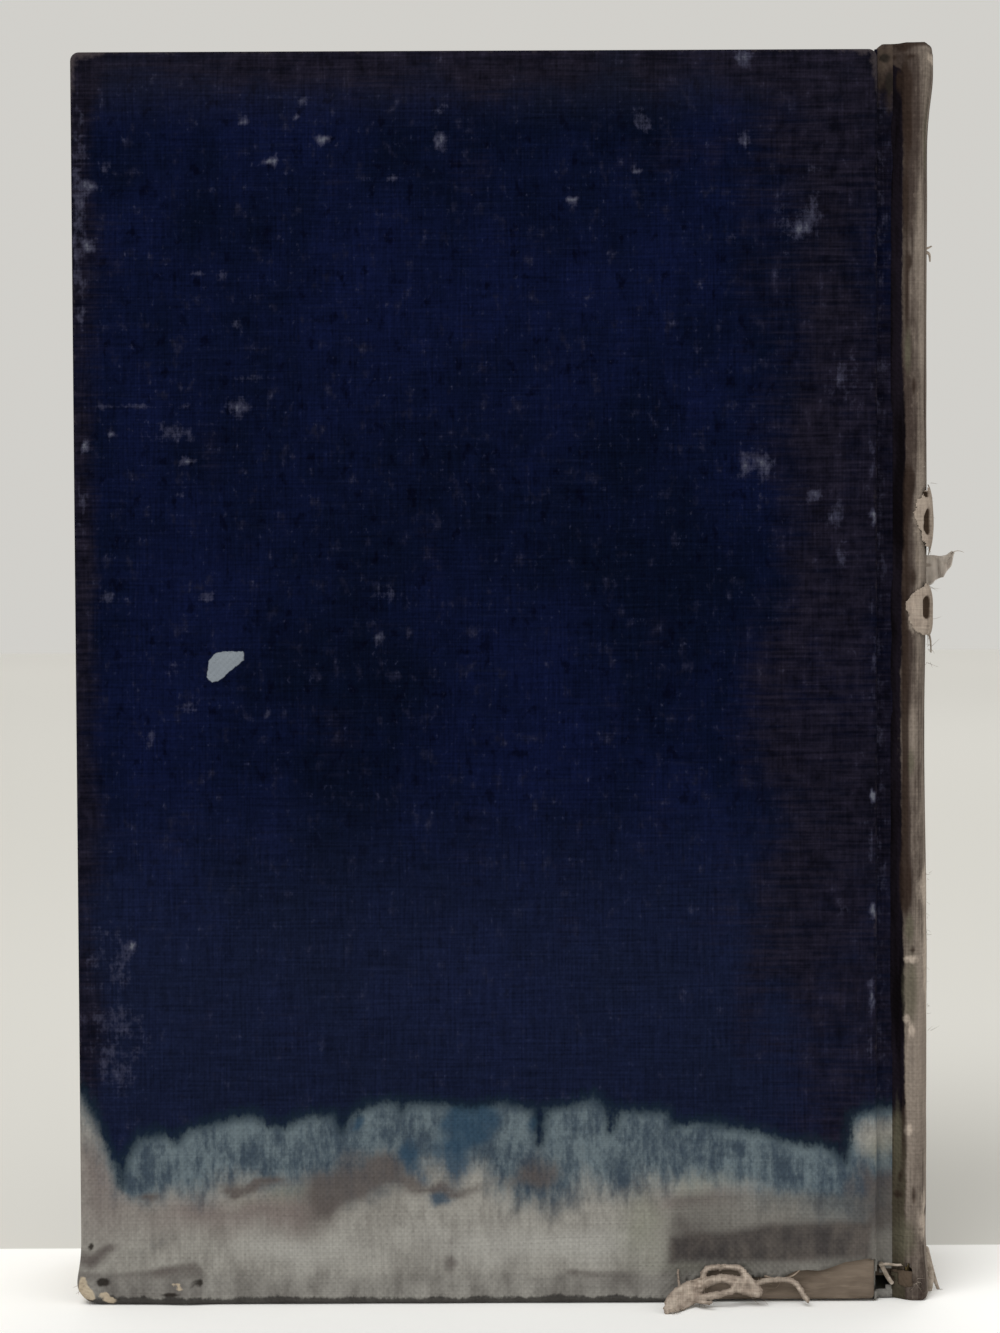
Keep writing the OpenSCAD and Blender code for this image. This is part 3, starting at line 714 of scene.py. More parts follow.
def spine_fields(s, z, inside):
    """All that has happened to the cloth of the spine, as named fields."""
    to_shoulder = np.abs(np.abs(s) - 16.9)
    crown = smooth(-np.abs(s), -14, -6)
    lightness = 0.24 + sum(strength * np.exp(-((z - middle) / reach) ** 2)
                           for middle, reach, strength in FADED_BANDS)
    return {
        "fade": np.clip(1.0 - smooth(np.abs(s) - 3.5 * smooth(z, SPINE_H - 5, SPINE_H - 2), 17.9, 20.1)
                        + 0.3 * wobble(s, z, (4, 22), 51), 0, 1),
        "pale": lightness + 0.3 * wobble(s, z, (2, 22), 53) + 0.2 * wobble(s, z, (1.4, 6), 54) + 0.15 * crown
                + 0.45 * smooth(-np.abs(s), -19.2, -15.8) - 0.2,
        "crack": smooth(-to_shoulder, -1.0, 0) * smooth(wobble(s, z, (3, 9), 52), 0.1, 0.7),
        "near_tear": np.maximum(smooth(spine_tear_distance(s, z), -1.6, 0) * smooth(np.abs(s), 17, 13),
                                flank_patches(s, z, CREAM_FLANK)),
        "moss": flank_patches(s, z, OLIVE_FLANK),
        # Dark: the patches above, a darker top edge, and a line of painted shade where the flank turns out of
        # view, 132 to 180 mm up.
        "dirt_and_shade": np.maximum.reduce([
            flank_patches(s, z, DARK_FLANK), 0.9 * smooth(z, SPINE_H - 1.2, SPINE_H - 0.4),
            0.8 * np.exp(-((s + 14.8) / 0.7) ** 2) * smooth(z, 132, 142) * smooth(-z, -180, -172)]),
        "tail": smooth(-z, -31, -28),
        "inside": inside,
    }


def make_spine(material):
    """The cloth of the spine, from groove to groove, rolled in at the head and the tail."""
    s, columns = SPINE_S, len(SPINE_S)
    rows = round(COVER_H / 0.62)
    t = np.linspace(0, 1, rows)
    nx, ny = SPINE_NORMAL.T
    over_card = smooth(-np.abs(s), -17.2, -14.4)
    cap_r = 0.35 + (CAP_T / 2 - 0.35) * over_card
    mid_x = SPINE_OUTLINE[:, 0] - CAP_T / 2
    head_rub, tail_rub = 3.0, 1.5

    def rubbed(radius):
        past = np.clip(mid_x - (CROWN_X - radius), 0, radius)
        return radius - np.sqrt(radius ** 2 - past ** 2)

    top = SPINE_H - rubbed(head_rub) - cap_r - 0.1 * (1 + wobble(s, s * 0, 3, 66))
    bottom = rubbed(tail_rub) + cap_r + 0.02
    S = np.tile(s, rows)
    Z = (bottom[None, :] + t[:, None] * (top - bottom)[None, :]).ravel()
    S, Z, sheet_faces = trim(S, Z, grid_faces(columns, rows), spine_tear_distance, 0.3)

    # Cloth softly rippled over the card, pinched into pleats beside the caps, lifted round the tears.
    pleats = smooth(Z, SPINE_H - 17, SPINE_H - 5) + 0.8 * smooth(-Z, -18, -4)
    on_back = smooth(-np.abs(S), -19.5, -17)
    out = 0.10 * wobble(S, Z, (6, 26), 61) + 0.05 * wobble(S, Z, 5, 62)
    out += 0.22 * pleats * wobble(S, Z, (1.7, 12), 63)
    out += 0.30 * smooth(spine_tear_distance(S, Z), -1.2, 0.2) * (0.6 + 0.6 * wobble(S, Z, 2.2, 64)) * on_back
    out -= 0.16 * smooth(-np.abs(np.abs(S) - 15.4), -1.3, 0) * smooth(wobble(S, Z, (5, 11), 65), -0.4, 0.5)
    out += 0.75 * on_back * smooth(Z, SPINE_H - 15, SPINE_H - 4)  # the head cap has spread with use
    out += 0.55 * on_back * smooth(-Z, -9, -1)
    out -= 0.35 * on_back * np.exp(-((Z - 88) / 18) ** 2)  # and the waist has worn thin
    out = np.maximum(out, 0.05 - CLOTH_T)  # the cloth never sinks into its card
    points = [under_open_cover(np.column_stack([spine_place(S, out), Z]), 0.03)]
    flats = [np.stack([S, Z, np.zeros(len(S))], axis=1)]
    insides = [np.zeros(len(S))]
    faces = [sheet_faces]
    count = columns * rows

    # The caps: the same cloth rolled over the card's ends and turned in.
    kept = np.flatnonzero(np.abs(s) < 21.8)
    turn = np.concatenate([steps(np.pi, 8), np.full(5, np.pi)])
    n = len(turn)
    for end, edge_row in ((1, rows - 1), (-1, 0)):
        edge = edge_row * columns + kept
        base = points[0][edge]
        depth = (TURN_IN - 1) * np.where(np.abs(s[kept]) < 15, 1, 0.3)
        down = np.concatenate([np.zeros((8, len(kept))), steps(1, 5, 1.5)[:, None] * depth[None, :]]).ravel()
        roll = np.repeat(turn, len(kept))
        r = np.tile(cap_r[kept], n)
        inward = r * (1 - np.cos(roll))
        px = np.tile(base[:, 0], n) - inward * np.tile(nx[kept], n)
        py = np.tile(base[:, 1], n) - inward * np.tile(ny[kept], n)
        pz = np.tile(base[:, 2], n) + end * (r * np.sin(roll) - down)
        points.append(np.stack([px, py, pz], axis=1))
        flat_z = np.tile(base[:, 2], n) + end * (roll * r + down)
        flats.append(np.stack([np.tile(s[kept], n), flat_z, 0 * roll], axis=1))
        insides.append(smooth(roll, 1.9, 3.0))
        numbers = np.concatenate([edge[None, :], count + np.arange(n * len(kept)).reshape(n, -1)])
        a, b = numbers[:-1, :-1].ravel(), numbers[:-1, 1:].ravel()
        c, d = numbers[1:, 1:].ravel(), numbers[1:, :-1].ravel()
        quads = np.stack([a, b, c, d], axis=1)
        faces.append(quads if end > 0 else quads[:, ::-1])
        count += n * len(kept)

    points, flats = np.concatenate(points), np.concatenate(flats)
    insides, faces = np.concatenate(insides), np.concatenate(faces)
    fields = spine_fields(flats[:, 0], points[:, 2], insides)
    fields["flat"] = flats
    points, faces, fields = thicken(points, faces, fields, CLOTH_T)
    obj = link("spine_covering", points, faces, material, fields)
    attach(obj, "block")
    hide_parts("spine_cloth")


# Torn and frayed pieces.


def lifted_patch(name, centre, size, lift, slots, material, seed):
    """Torn cloth and gauze that stand away from the spine, sunk and painted dark as shadow where a slot is
    worn in them.
    """
    (cs, cz), (ws, wz) = centre, size
    s, z = np.linspace(cs - ws / 2, cs + ws / 2, 60), np.linspace(cz - wz / 2, cz + wz / 2, round(wz / 0.2))
    S, Z = (g.ravel() for g in np.meshgrid(s, z))

    def gone(s, z):
        rim = np.abs(2 * (s - cs) / ws) ** 3 + np.abs(2 * (z - cz) / wz) ** 2.2
        rim = rim ** 0.4 - 0.84 + 0.10 * wobble(s, z, (1.7, 2.3), seed) + 0.06 * wobble(s, z, 0.6, seed + 3)
        return rim * ws / 2

    S, Z, faces = trim(S, Z, grid_faces(len(s), len(z)), gone, 0.11)
    u, w = 2 * (S - cs) / ws, 2 * (Z - cz) / wz
    standing = np.clip(1 - u * u, 0, 1) ** 0.7 * np.clip(1 - np.abs(w) ** 3, 0, 1)
    height = 0.03 + lift * standing + 0.14 * np.minimum(1, 3 * standing) * wobble(S, Z, (1.2, 2.8), seed + 2)
    slot = np.maximum.reduce([1.25 - np.hypot((S - slot_s) / wide * 2, ((Z - slot_z) / high * 2) ** 2)
                              for (slot_s, slot_z), (wide, high) in slots])
    slot = smooth(slot + 0.15 * wobble(S, Z, 0.8, seed + 1), 0, 0.5)
    height = np.maximum(height - 0.5 * slot, 0.1)
    points = under_open_cover(np.column_stack([spine_place(S, height), Z]), 0.1)
    # The edge field darkens the rim a little, and the slots strongly: painted shadow in the slots.
    fields = {"flat": np.stack([S, Z, 0 * S], axis=1), "edge": smooth(-gone(S, Z), -1.8, 0) + 4 * slot}
    points, faces, fields = thicken(points, faces, fields, 0.12)
    obj = link(name, points, faces, material, fields)
    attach(obj, "block")


def smooth_path(knots, count):
    """A smooth curve through given points."""
    knots = np.asarray(knots, float)
    t = np.linspace(0, len(knots) - 1, count)
    i = np.clip(t.astype(int), 0, len(knots) - 2)
    f = (t - i)[:, None]
    p0, p1 = knots[np.maximum(i - 1, 0)], knots[i]
    p2, p3 = knots[i + 1], knots[np.minimum(i + 2, len(knots) - 1)]
    square, cube = 2 * p0 - 5 * p1 + 4 * p2 - p3, 3 * p1 - p0 - 3 * p2 + p3
    return 0.5 * (2 * p1 + (p2 - p0) * f + square * f ** 2 + cube * f ** 3)


def strand(knots, wide, thick, taper, count=None, sides=8):
    """A bent strip with an oval section: points and quads."""
    path = smooth_path(knots, count or 8 * len(knots))
    n = len(path)
    along = np.gradient(path, axis=0)
    along /= np.linalg.norm(along, axis=1, keepdims=True)
    across = np.cross(along, (0, -1, 0))
    across /= np.maximum(np.linalg.norm(across, axis=1, keepdims=True), 1e-6)
    front = np.cross(across, along)
    t = np.linspace(0, 1, n)
    size = np.clip(1 - taper * t, 0.12, 1) * np.minimum(1, 0.35 + 12 * np.minimum(t, 1 - t))
    angles = np.linspace(0, 2 * np.pi, sides, endpoint=False)
    ring = (across[:, None, :] * (wide / 2 * np.cos(angles))[None, :, None]
            + front[:, None, :] * (thick / 2 * np.sin(angles))[None, :, None])
    points = (path[:, None, :] + ring * size[:, None, None]).reshape(-1, 3)
    return points, tube_faces(n, sides)


def join(parts):
    """The points and faces of many pieces as one."""
    points, faces, count = [], [], 0
    for some_points, some_faces in parts:
        points.append(some_points)
        faces.append(some_faces + count)
        count += len(some_points)
    return np.concatenate(points), np.concatenate(faces)


def seen_path(knots):
    """Pixels with a height out of the back cover's face, as points."""
    return [in_view(px, py, OUTER + height) for px, py, height in knots]


def hairs(anchors, direction, count, length, generator, thick=0.07):
    """Loose fibres that start near some points."""
    parts = []
    anchors = np.asarray(anchors, float)
    for _ in range(count):
        start = anchors[generator.integers(len(anchors))] + generator.normal(0, 0.25, 3)
        heading = np.asarray(direction, float) + generator.normal(0, 0.45, 3)
        bend = generator.normal(0, 0.35, 3)
        reach = length * generator.uniform(0.4, 1.2)
        knots = [start + heading * reach * k + bend * reach * k * k for k in (0, 0.35, 0.7, 1)]
        parts.append(strand(knots, thick, thick, 0.7, count=7, sides=4))
    return parts


# Torn cloth at the tail of the back cover. A knot of a strip is a pixel of the photograph, half the strip's
# width in pixels, and how far the cloth stands out of the cover.
TORN_STRIPS = [
    [(700, 1285, 7, 0.9), (692, 1290, 10, 1.6), (683, 1297, 12, 3.0), (676, 1303, 11, 4.8),
     (672, 1308, 8.5, 6.2)],
    [(688, 1292, 6, 1.4), (702, 1285, 5, 1.8), (714, 1280, 4.6, 2.2), (724, 1278.5, 4.6, 2.3),
     (737, 1282, 6.2, 2.2), (748, 1287, 8, 2.2), (757, 1292, 6, 2.5)],
    [(703, 1282, 3, 0.9), (705, 1271.5, 3.2, 0.9), (712, 1268, 3, 0.9), (728, 1267, 3, 1.0),
     (740, 1269, 3.6, 1.2), (746, 1276, 4, 1.7), (753, 1284, 4, 2.1)],
    [(725, 1279, 3, 2.3), (734, 1284, 3.4, 2.6), (733, 1290, 3.4, 2.8), (722, 1294, 3.6, 2.9),
     (708, 1296.5, 3.8, 2.6), (695, 1298.5, 4, 2.4), (702, 1301.5, 3, 3.6), (711, 1302.5, 2, 4.4)],
    [(734, 1288, 4, 2.3), (747, 1291.5, 4, 2.4), (757, 1295, 3, 2.6)],
    [(756, 1284, 2.6, 1.6), (767, 1280.5, 2.8, 1.2), (783, 1279.5, 2.8, 1.1), (795, 1283, 3, 1.3),
     (801, 1291, 3, 1.9), (807, 1300, 2.6, 2.6)],
    [(678, 1270, 1.0, 0.4), (678.5, 1279, 1.1, 0.8), (680, 1289, 2, 1.6)],
]
# The columns and rows of the photograph that hold them.
TORN_COLUMNS, TORN_ROWS = (655, 815), (1261, 1314)
# At the tail of the back cover: a loose thread, and places where fibres start, by pixel and height out of
# the cover. With each place, the way its fibres point, their number and their length.
LOOSE_THREAD = [(764, 1276, 0.5), (778, 1279, 0.7), (792, 1276, 0.6), (800, 1270, 0.4)]
TAIL_FIBRES = [
    ([(690, 1284, 0.3), (703, 1278, 0.3), (745, 1272, 0.3), (760, 1277, 0.3), (784, 1277, 0.3)],
     (0.1, -0.25, -0.7), 26, 2.2),
    ([(757, 1293, 2.8), (748, 1292, 2.8), (702, 1298, 2.4), (672, 1309, 6.2)], (0.2, -0.2, -0.6), 22, 1.3),
    ([(84, 1282, -0.3), (92, 1294, 0.0), (81, 1288, -0.6)], (-0.5, -0.2, -0.3), 10, 1.2),
]
# The tongue of cloth beside the spine: its two rims and a streak on it, seen this far out of the middle.
TONGUE_OUT = 9.0
TONGUE_TOP = [(918, 556), (931, 556), (940, 556.5), (947, 555), (952.5, 551.5)]
TONGUE_LOW = [(918, 584), (932, 582), (942, 576), (949, 566.5), (953, 552.5)]
TONGUE_STREAK = (928, 565)
# Threads beside the spine: pixels, distance out of the middle, width, thickness and taper.
SPINE_THREADS = [
    ([(950.5, 553), (956, 551), (960, 551), (964, 552.5)], 8.6, 0.14, 0.12, 0.6),
    ([(926, 622), (928.5, 632), (930.5, 641), (931, 653)], 8.5, 0.45, 0.16, 0.5),
    ([(925, 624), (927.5, 634), (928, 646)], 8.8, 0.14, 0.12, 0.5),
    ([(924, 249), (928, 248), (932, 246)], 8.5, 0.5, 0.2, 0.6),
    ([(924, 252), (929, 254), (930, 262)], 8.5, 0.7, 0.2, 0.7),
    ([(926, 1246), (930, 1262), (935, 1280), (939, 1291), (942.5, 1299)], 9.5, 0.8, 0.3, 0.5),
    ([(924, 1252), (929, 1266), (931, 1280), (928, 1296)], 10.5, 1.1, 0.4, 0.3),
    ([(880, 1262), (884, 1270), (889, 1279), (893, 1284)], OUTER - 2.0, 0.8, 0.25, 0.2),
    ([(879, 1265), (887, 1264), (897, 1265), (908, 1264)], OUTER - 1.6, 0.5, 0.25, 0.3),
]
# Fibres on the spine: where they start, by distance round it and height, how far out of the cloth, which way
# they point, their number, length and thickness.
SPINE_FIBRES = [
    ([(-13, 119), (-12, 128), (-9, 129.5), (-12, 103), (-15, 108), (-8, 101), (-10, 113), (-5, 104),
      (-3, 125)], 0.4, (0.4, -0.25, -0.3), 30, 1.4, 0.07),
    ([(-11, z) for z in np.arange(42, 70, 1.5)], 0.1, (0.45, -0.3, 0.1), 30, 0.8, 0.06),
    ([(-13, 3), (-10, 4), (-15, 5), (-17, 3)], 0.4, (0.45, -0.3, -0.5), 22, 1.8, 0.07),
]


def strips_at(px, py):
    """How far inside the torn strips each pixel is, and how far the cloth stands out of the cover there."""
    inside = np.full(px.shape, -30.0)
    total, weights = np.zeros(px.shape), np.zeros(px.shape)
    for strip in TORN_STRIPS:
        knots = smooth_path(strip, 5 * len(strip))
        for start, end in zip(knots, knots[1:]):
            t, away = on_segment(px, py, start[:2], end[:2])
            half, height = (a + t * (b - a) for a, b in zip(start[2:], end[2:]))
            belly = 0.32 * np.sqrt(np.clip(1 - (away / half) ** 2, 0, 1))
            weight = np.exp(np.clip(half - away, -12, 12) * 1.2)
            inside = np.maximum(inside, half - away)
            total, weights = total + weight * (height + belly), weights + weight
    return inside, total / weights


def torn_tail(material):
    """The torn edge of the cloth: strips that sag off the board, and a broad one that reaches the table."""
    columns, rows = np.arange(*TORN_COLUMNS, 0.9), np.arange(*TORN_ROWS, 0.9)
    px, py = (g.ravel() for g in np.meshgrid(columns, rows))

    def gone(x, y):
        return 0.6 * wobble(x, y, (4, 3), 91) + 0.4 * wobble(x, y, 1.6, 92) - strips_at(x, y)[0]

    px, py, faces = trim(px, py, grid_faces(len(columns), len(rows)), gone, 0.45)
    inside, height = strips_at(px, py)
    height = height + 0.2 * wobble(px, py, (7, 2.2), 93) + 0.1 * wobble(px, py, 1.8, 94)
    points = in_view(px, py, OUTER + height)
    points[:, 2] = np.maximum(points[:, 2], 0.32)
    flat = np.stack([px, -py, 0 * px], axis=1) * photo_length(1)
    # The edge field darkens the strips towards their rims: painted shade.
    fields = {"flat": flat, "edge": 1.25 * smooth(-inside, -4.5, 0)}
    points, faces, fields = thicken(points, faces[:, ::-1], fields, 0.28)
    obj = link("torn_tail_cloth", points, faces, material, fields)
    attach(obj, "back_cover")


def frayed_tail(material):
    """Loose threads and fibres along the worn tail of the back cover."""
    generator = np.random.default_rng(21)
    parts = [strand(seen_path(LOOSE_THREAD), 0.35, 0.25, 0.4)]
    for knots, direction, count, length in TAIL_FIBRES:
        parts += hairs(seen_path(knots), direction, count, length, generator)
    points, faces = join(parts)
    points[:, 2] = np.maximum(points[:, 2], 0.05)
    obj = link("frayed_tail_edge", points, faces, material)
    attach(obj, "back_cover")


def beside_spine(pixels, out):
    """Points seen beside the spine, a distance towards the back cover from the middle of the book."""
    return [in_view(px, py, out) for px, py in pixels]


def horn(material):
    """A torn tongue of cloth that stands out behind the spine, drawn to a thread."""
    columns, rows = 20, 26
    top, low = (smooth_path(beside_spine(rim, TONGUE_OUT), rows)[:, None, :]
                for rim in (TONGUE_TOP, TONGUE_LOW))
    across = np.linspace(0, 1, columns)[None, :]
    along = np.tile(np.linspace(0, rows, rows)[:, None], (1, columns))
    grid = top * (1 - across)[:, :, None] + low * across[:, :, None]
    cup = 1.1 * np.sin(np.pi * across) * np.linspace(1, 0.2, rows)[:, None]
    ragged = 0.28 * wobble(along, across * 4, (2.2, 2.0), 95) + 0.14 * wobble(along, across * 9, 1.1, 96)
    grid[:, :, 1] += cup - 0.4 + ragged
    grid[:, :, 2] += ragged * (0.3 + 0.7 * across) * (1 - along / 30)
    points = grid.reshape(-1, 3)
    faces = grid_faces(columns, rows)
    (streak_x, _, streak_z), = beside_spine([TONGUE_STREAK], TONGUE_OUT)
    streak = hump(points[:, 0], points[:, 2], streak_x, streak_z, 0.7, 0.35)
    fields = {"flat": points * [1, 0, 1] + [300, 0, 0], "edge": 2.0 * streak}
    points, faces, fields = thicken(points, faces, fields, 0.2)
    obj = link("spine_tongue", points, faces, material, fields)
    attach(obj, "block")


def frayed_spine(material):
    """Loose threads and fibres beside the spine and round its tears."""
    generator = np.random.default_rng(22)
    parts = [strand(beside_spine(knots, out), wide, thick, taper)
             for knots, out, wide, thick, taper in SPINE_THREADS]
    for starts, out, direction, count, length, thick in SPINE_FIBRES:
        anchors = [(*spine_place(np.array(s), out), z) for s, z in starts]
        parts += hairs(anchors, direction, count, length, generator, thick)
    points, faces = join(parts)
    points = under_open_cover(points, 0.08)
    points[:, 2] = np.maximum(points[:, 2], 0.05)
    obj = link("frayed_spine", points, faces, material)
    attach(obj, "block")


# The block of pages.


def make_pages(material):
    """Many thin leaves, each a little out of line with the next, in the block's own outline."""
    generator = np.random.default_rng(12)
    gatherings, leaves_each, leaf_gap, columns = 20, 8, 0.012, 22
    count = gatherings * leaves_each
    hollow, straight = 2.8, 0.55  # depth of the fore-edge's curve, and the part of a leaf before the shoulder
    fore_r = (SIDE ** 2 + hollow ** 2) / (2 * hollow)
    t = np.linspace(0, 1, columns)
    sides, last = tube_faces(columns, 4), 4 * columns - 1
    sheets = []
    shade = []

    def spread(v, x):
        return v * (1 + SHOULDER / SIDE * np.clip((x - FOOT_X) / FLARE_LEN, 0, 1) ** 2)

    for k in range(count):
        low, high = SIDE * (2 * k / count - 1), SIDE * (2 * (k + 1) / count - 1)
        middle = (low + high) / 2
        within = (k % leaves_each + 0.5) / leaves_each * 2 - 1
        fore = FORE_X + SQUARE + hollow - fore_r + np.sqrt(fore_r ** 2 - middle ** 2)
        fore += generator.uniform(0, 0.12)
        fan = middle * (1 + SHOULDER / SIDE)
        back = CENTRE_X + np.sqrt(BACK_R ** 2 - fan ** 2) + FOLD_BULGE * np.sqrt(1 - within ** 2) - 0.02
        x = np.where(t < straight, fore + (FOOT_X - fore) * t / straight,
                     FOOT_X + (back - FOOT_X) * (t - straight) / (1 - straight))
        ripple = 0.03 * wobble(x, x * 0 + k, (9, 2), 13)
        top = PAGE_TOP - generator.uniform(0, 0.14) - 0.05 * wobble(x, x * 0 + k * 3, (12, 2), 14)
        foot = PAGE_FOOT + generator.uniform(0, 0.10) + 0 * x
        left, right = spread(low, x), spread(high, x) - leaf_gap
        left = np.maximum(left + ripple * (abs(middle) < SIDE - 1), spread(-SIDE, x))
        right = np.minimum(right + ripple * (abs(middle) < SIDE - 1), spread(SIDE, x))
        corners = [(left, foot), (left, top), (right, top), (right, foot)]
        points = np.stack([np.stack([x, y, z], axis=1) for y, z in corners], axis=1).reshape(-1, 3)
        ends = np.array([[0, 1, 2, 3], [last, last - 1, last - 2, last - 3]])
        sheets.append((points, np.concatenate([sides[:, ::-1], ends])))
        shade.append(np.full(len(points), generator.uniform()))
    points, faces = join(sheets)
    fields = {"leaf": np.concatenate(shade)}
    obj = link("leaves_of_the_block", points, faces, material, fields, smooth_faces=False)
    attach(obj, "block")
    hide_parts("text_block")


def ribbon(name, path, heights, side, depth, material, fields_at, ragged=None, head_rise=None):
    """A strip that follows a path across the joint and runs up the book."""
    columns, rows = len(path), len(heights)
    s = lengths_along(path)
    X, V = np.tile(path[:, 0], rows), np.tile(path[:, 1], rows)
    S, Z = np.tile(s, rows), np.repeat(heights, columns)
    if head_rise is not None:
        Z = Z * (1 + head_rise(S) / heights[-1])
    faces = grid_faces(columns, rows)
    if side > 0:
        faces = faces[:, ::-1]
    if ragged is not None:
        centre = faces[:, 0]
        faces = faces[~ragged(S[centre], Z[centre])]
    fields = fields_at(X, V, S, Z)
    points = np.stack([X, side * V, Z], axis=1)
    points, faces, fields = thicken(points, faces, fields, depth)
    obj = link(name, points, faces, material, fields)
    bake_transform(obj)
    return obj


def make_groove(which, side, marks, material):
    """The free strip of cloth from the edge of a board to the foot of the shoulder."""
    proud = 0.03
    fillet = 0.9
    wall_x = EDGE_X + proud
    bottom = GROOVE_V + proud
    angles = np.linspace(0, np.pi / 2, 7)
    path = [(wall_x, bottom + 1.5), (wall_x, bottom + 1.2)]
    path += [(wall_x + fillet * (1 - np.cos(a)), bottom + fillet * (1 - np.sin(a))) for a in angles]
    path += [(x, bottom) for x in np.linspace(wall_x + fillet, FOOT_X, 5)[1:]]
    path += [flare_point(t, GROOVE_V - SIDE + proud) for t in np.linspace(0, 0.25, 4)[1:]]
    path = np.array(path)

    def fields_at(X, V, S, Z):
        fields = marks(np.full(len(X), COVER_W - 0.5), Z)
        fields["inside"] = np.zeros(len(X))
        fields["rub"] = fields["rub"] * 0
        fields["chip"] = fields["chip"] * 0 - 9
        fields["scuff"] = 0.28 * smooth(S, 4.2, 1.6)
        if side < 0:
            ragged = Z + 2.5 * wobble(S, Z, (1.0, 2.5), 110)
            fields["brown"] = smooth(ragged, COVER_H - 13, COVER_H - 4) * smooth(S, 0.2, 1.8)
            fields["hole"] = sum(hump(S, Z, s, COVER_H - down, wide, high)
                                 for s, down, wide, high in WORN_GROOVE)
        fields["flat"] = np.stack([COVER_W + S, Z, np.full(len(X), NOISE_APART * side)], axis=1)
        return fields

    def torn(s, z):
        return (z > 1.5 + 0.4 * wobble(s, z, 0.8, 82)) & (z < 4.6 + 1.2 * wobble(s, z, 1.0, 81))

    def head_rise(s):
        return 1.1 * smooth(s, 0.9, 2.2)

    heights = np.linspace(0.15, COVER_H - 0.05, 300)
    obj = ribbon(f"{which}_groove_cloth", path, heights, side, CLOTH_T, material, fields_at,
                 torn if side < 0 else None, head_rise)
    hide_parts(f"{which}_joint_cloth")


def make_joint_linings(which, side, paper, gauze):
    """The strips of mull and endpaper under the groove's cloth."""
    def plain(X, V, S, Z):
        return {"flat": np.stack([X, Z, V], axis=1)}

    mull = np.array([(x, MULL_HIGH[1]) for x in np.linspace(EDGE_X, FOOT_X, 9)])
    obj = ribbon(f"{which}_mull_hinge", mull, np.linspace(MULL_LOW[2], MULL_HIGH[2], 60), side, MULL_T,
                 gauze, plain)
    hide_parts(f"{which}_joint_mull")
    out = MULL_LOW[1] - SIDE
    path = [(x, SIDE + out) for x in np.linspace(EDGE_X - 0.02, FOOT_X, 9)]
    path += [flare_point(t, out) for t in np.linspace(0, 1, 9)[1:]]
    end_x, end_v = flare_point(1, out)
    path += [(end_x + 0.12, end_v - 0.06), (end_x + 0.1, end_v - 0.3)]
    path += [flare_point(t, LEAF_T * 2.1) for t in np.linspace(1, 0.8, 4)]
    obj = ribbon(f"{which}_endpaper_hinge", np.array(path), np.linspace(FOLD_LOW[2], FOLD_HIGH[2], 60), side,
                 LEAF_T, paper, plain)
    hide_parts(f"{which}_joint_paper")


# Materials.


def rgb(code):
    """A colour as seen in the photograph, #rrggbb, to linear light."""
    parts = [int(code[i:i + 2], 16) / 255 for i in (1, 3, 5)]
    return tuple(c / 12.92 if c <= 0.04045 else ((c + 0.055) / 1.055) ** 2.4 for c in parts) + (1.0,)


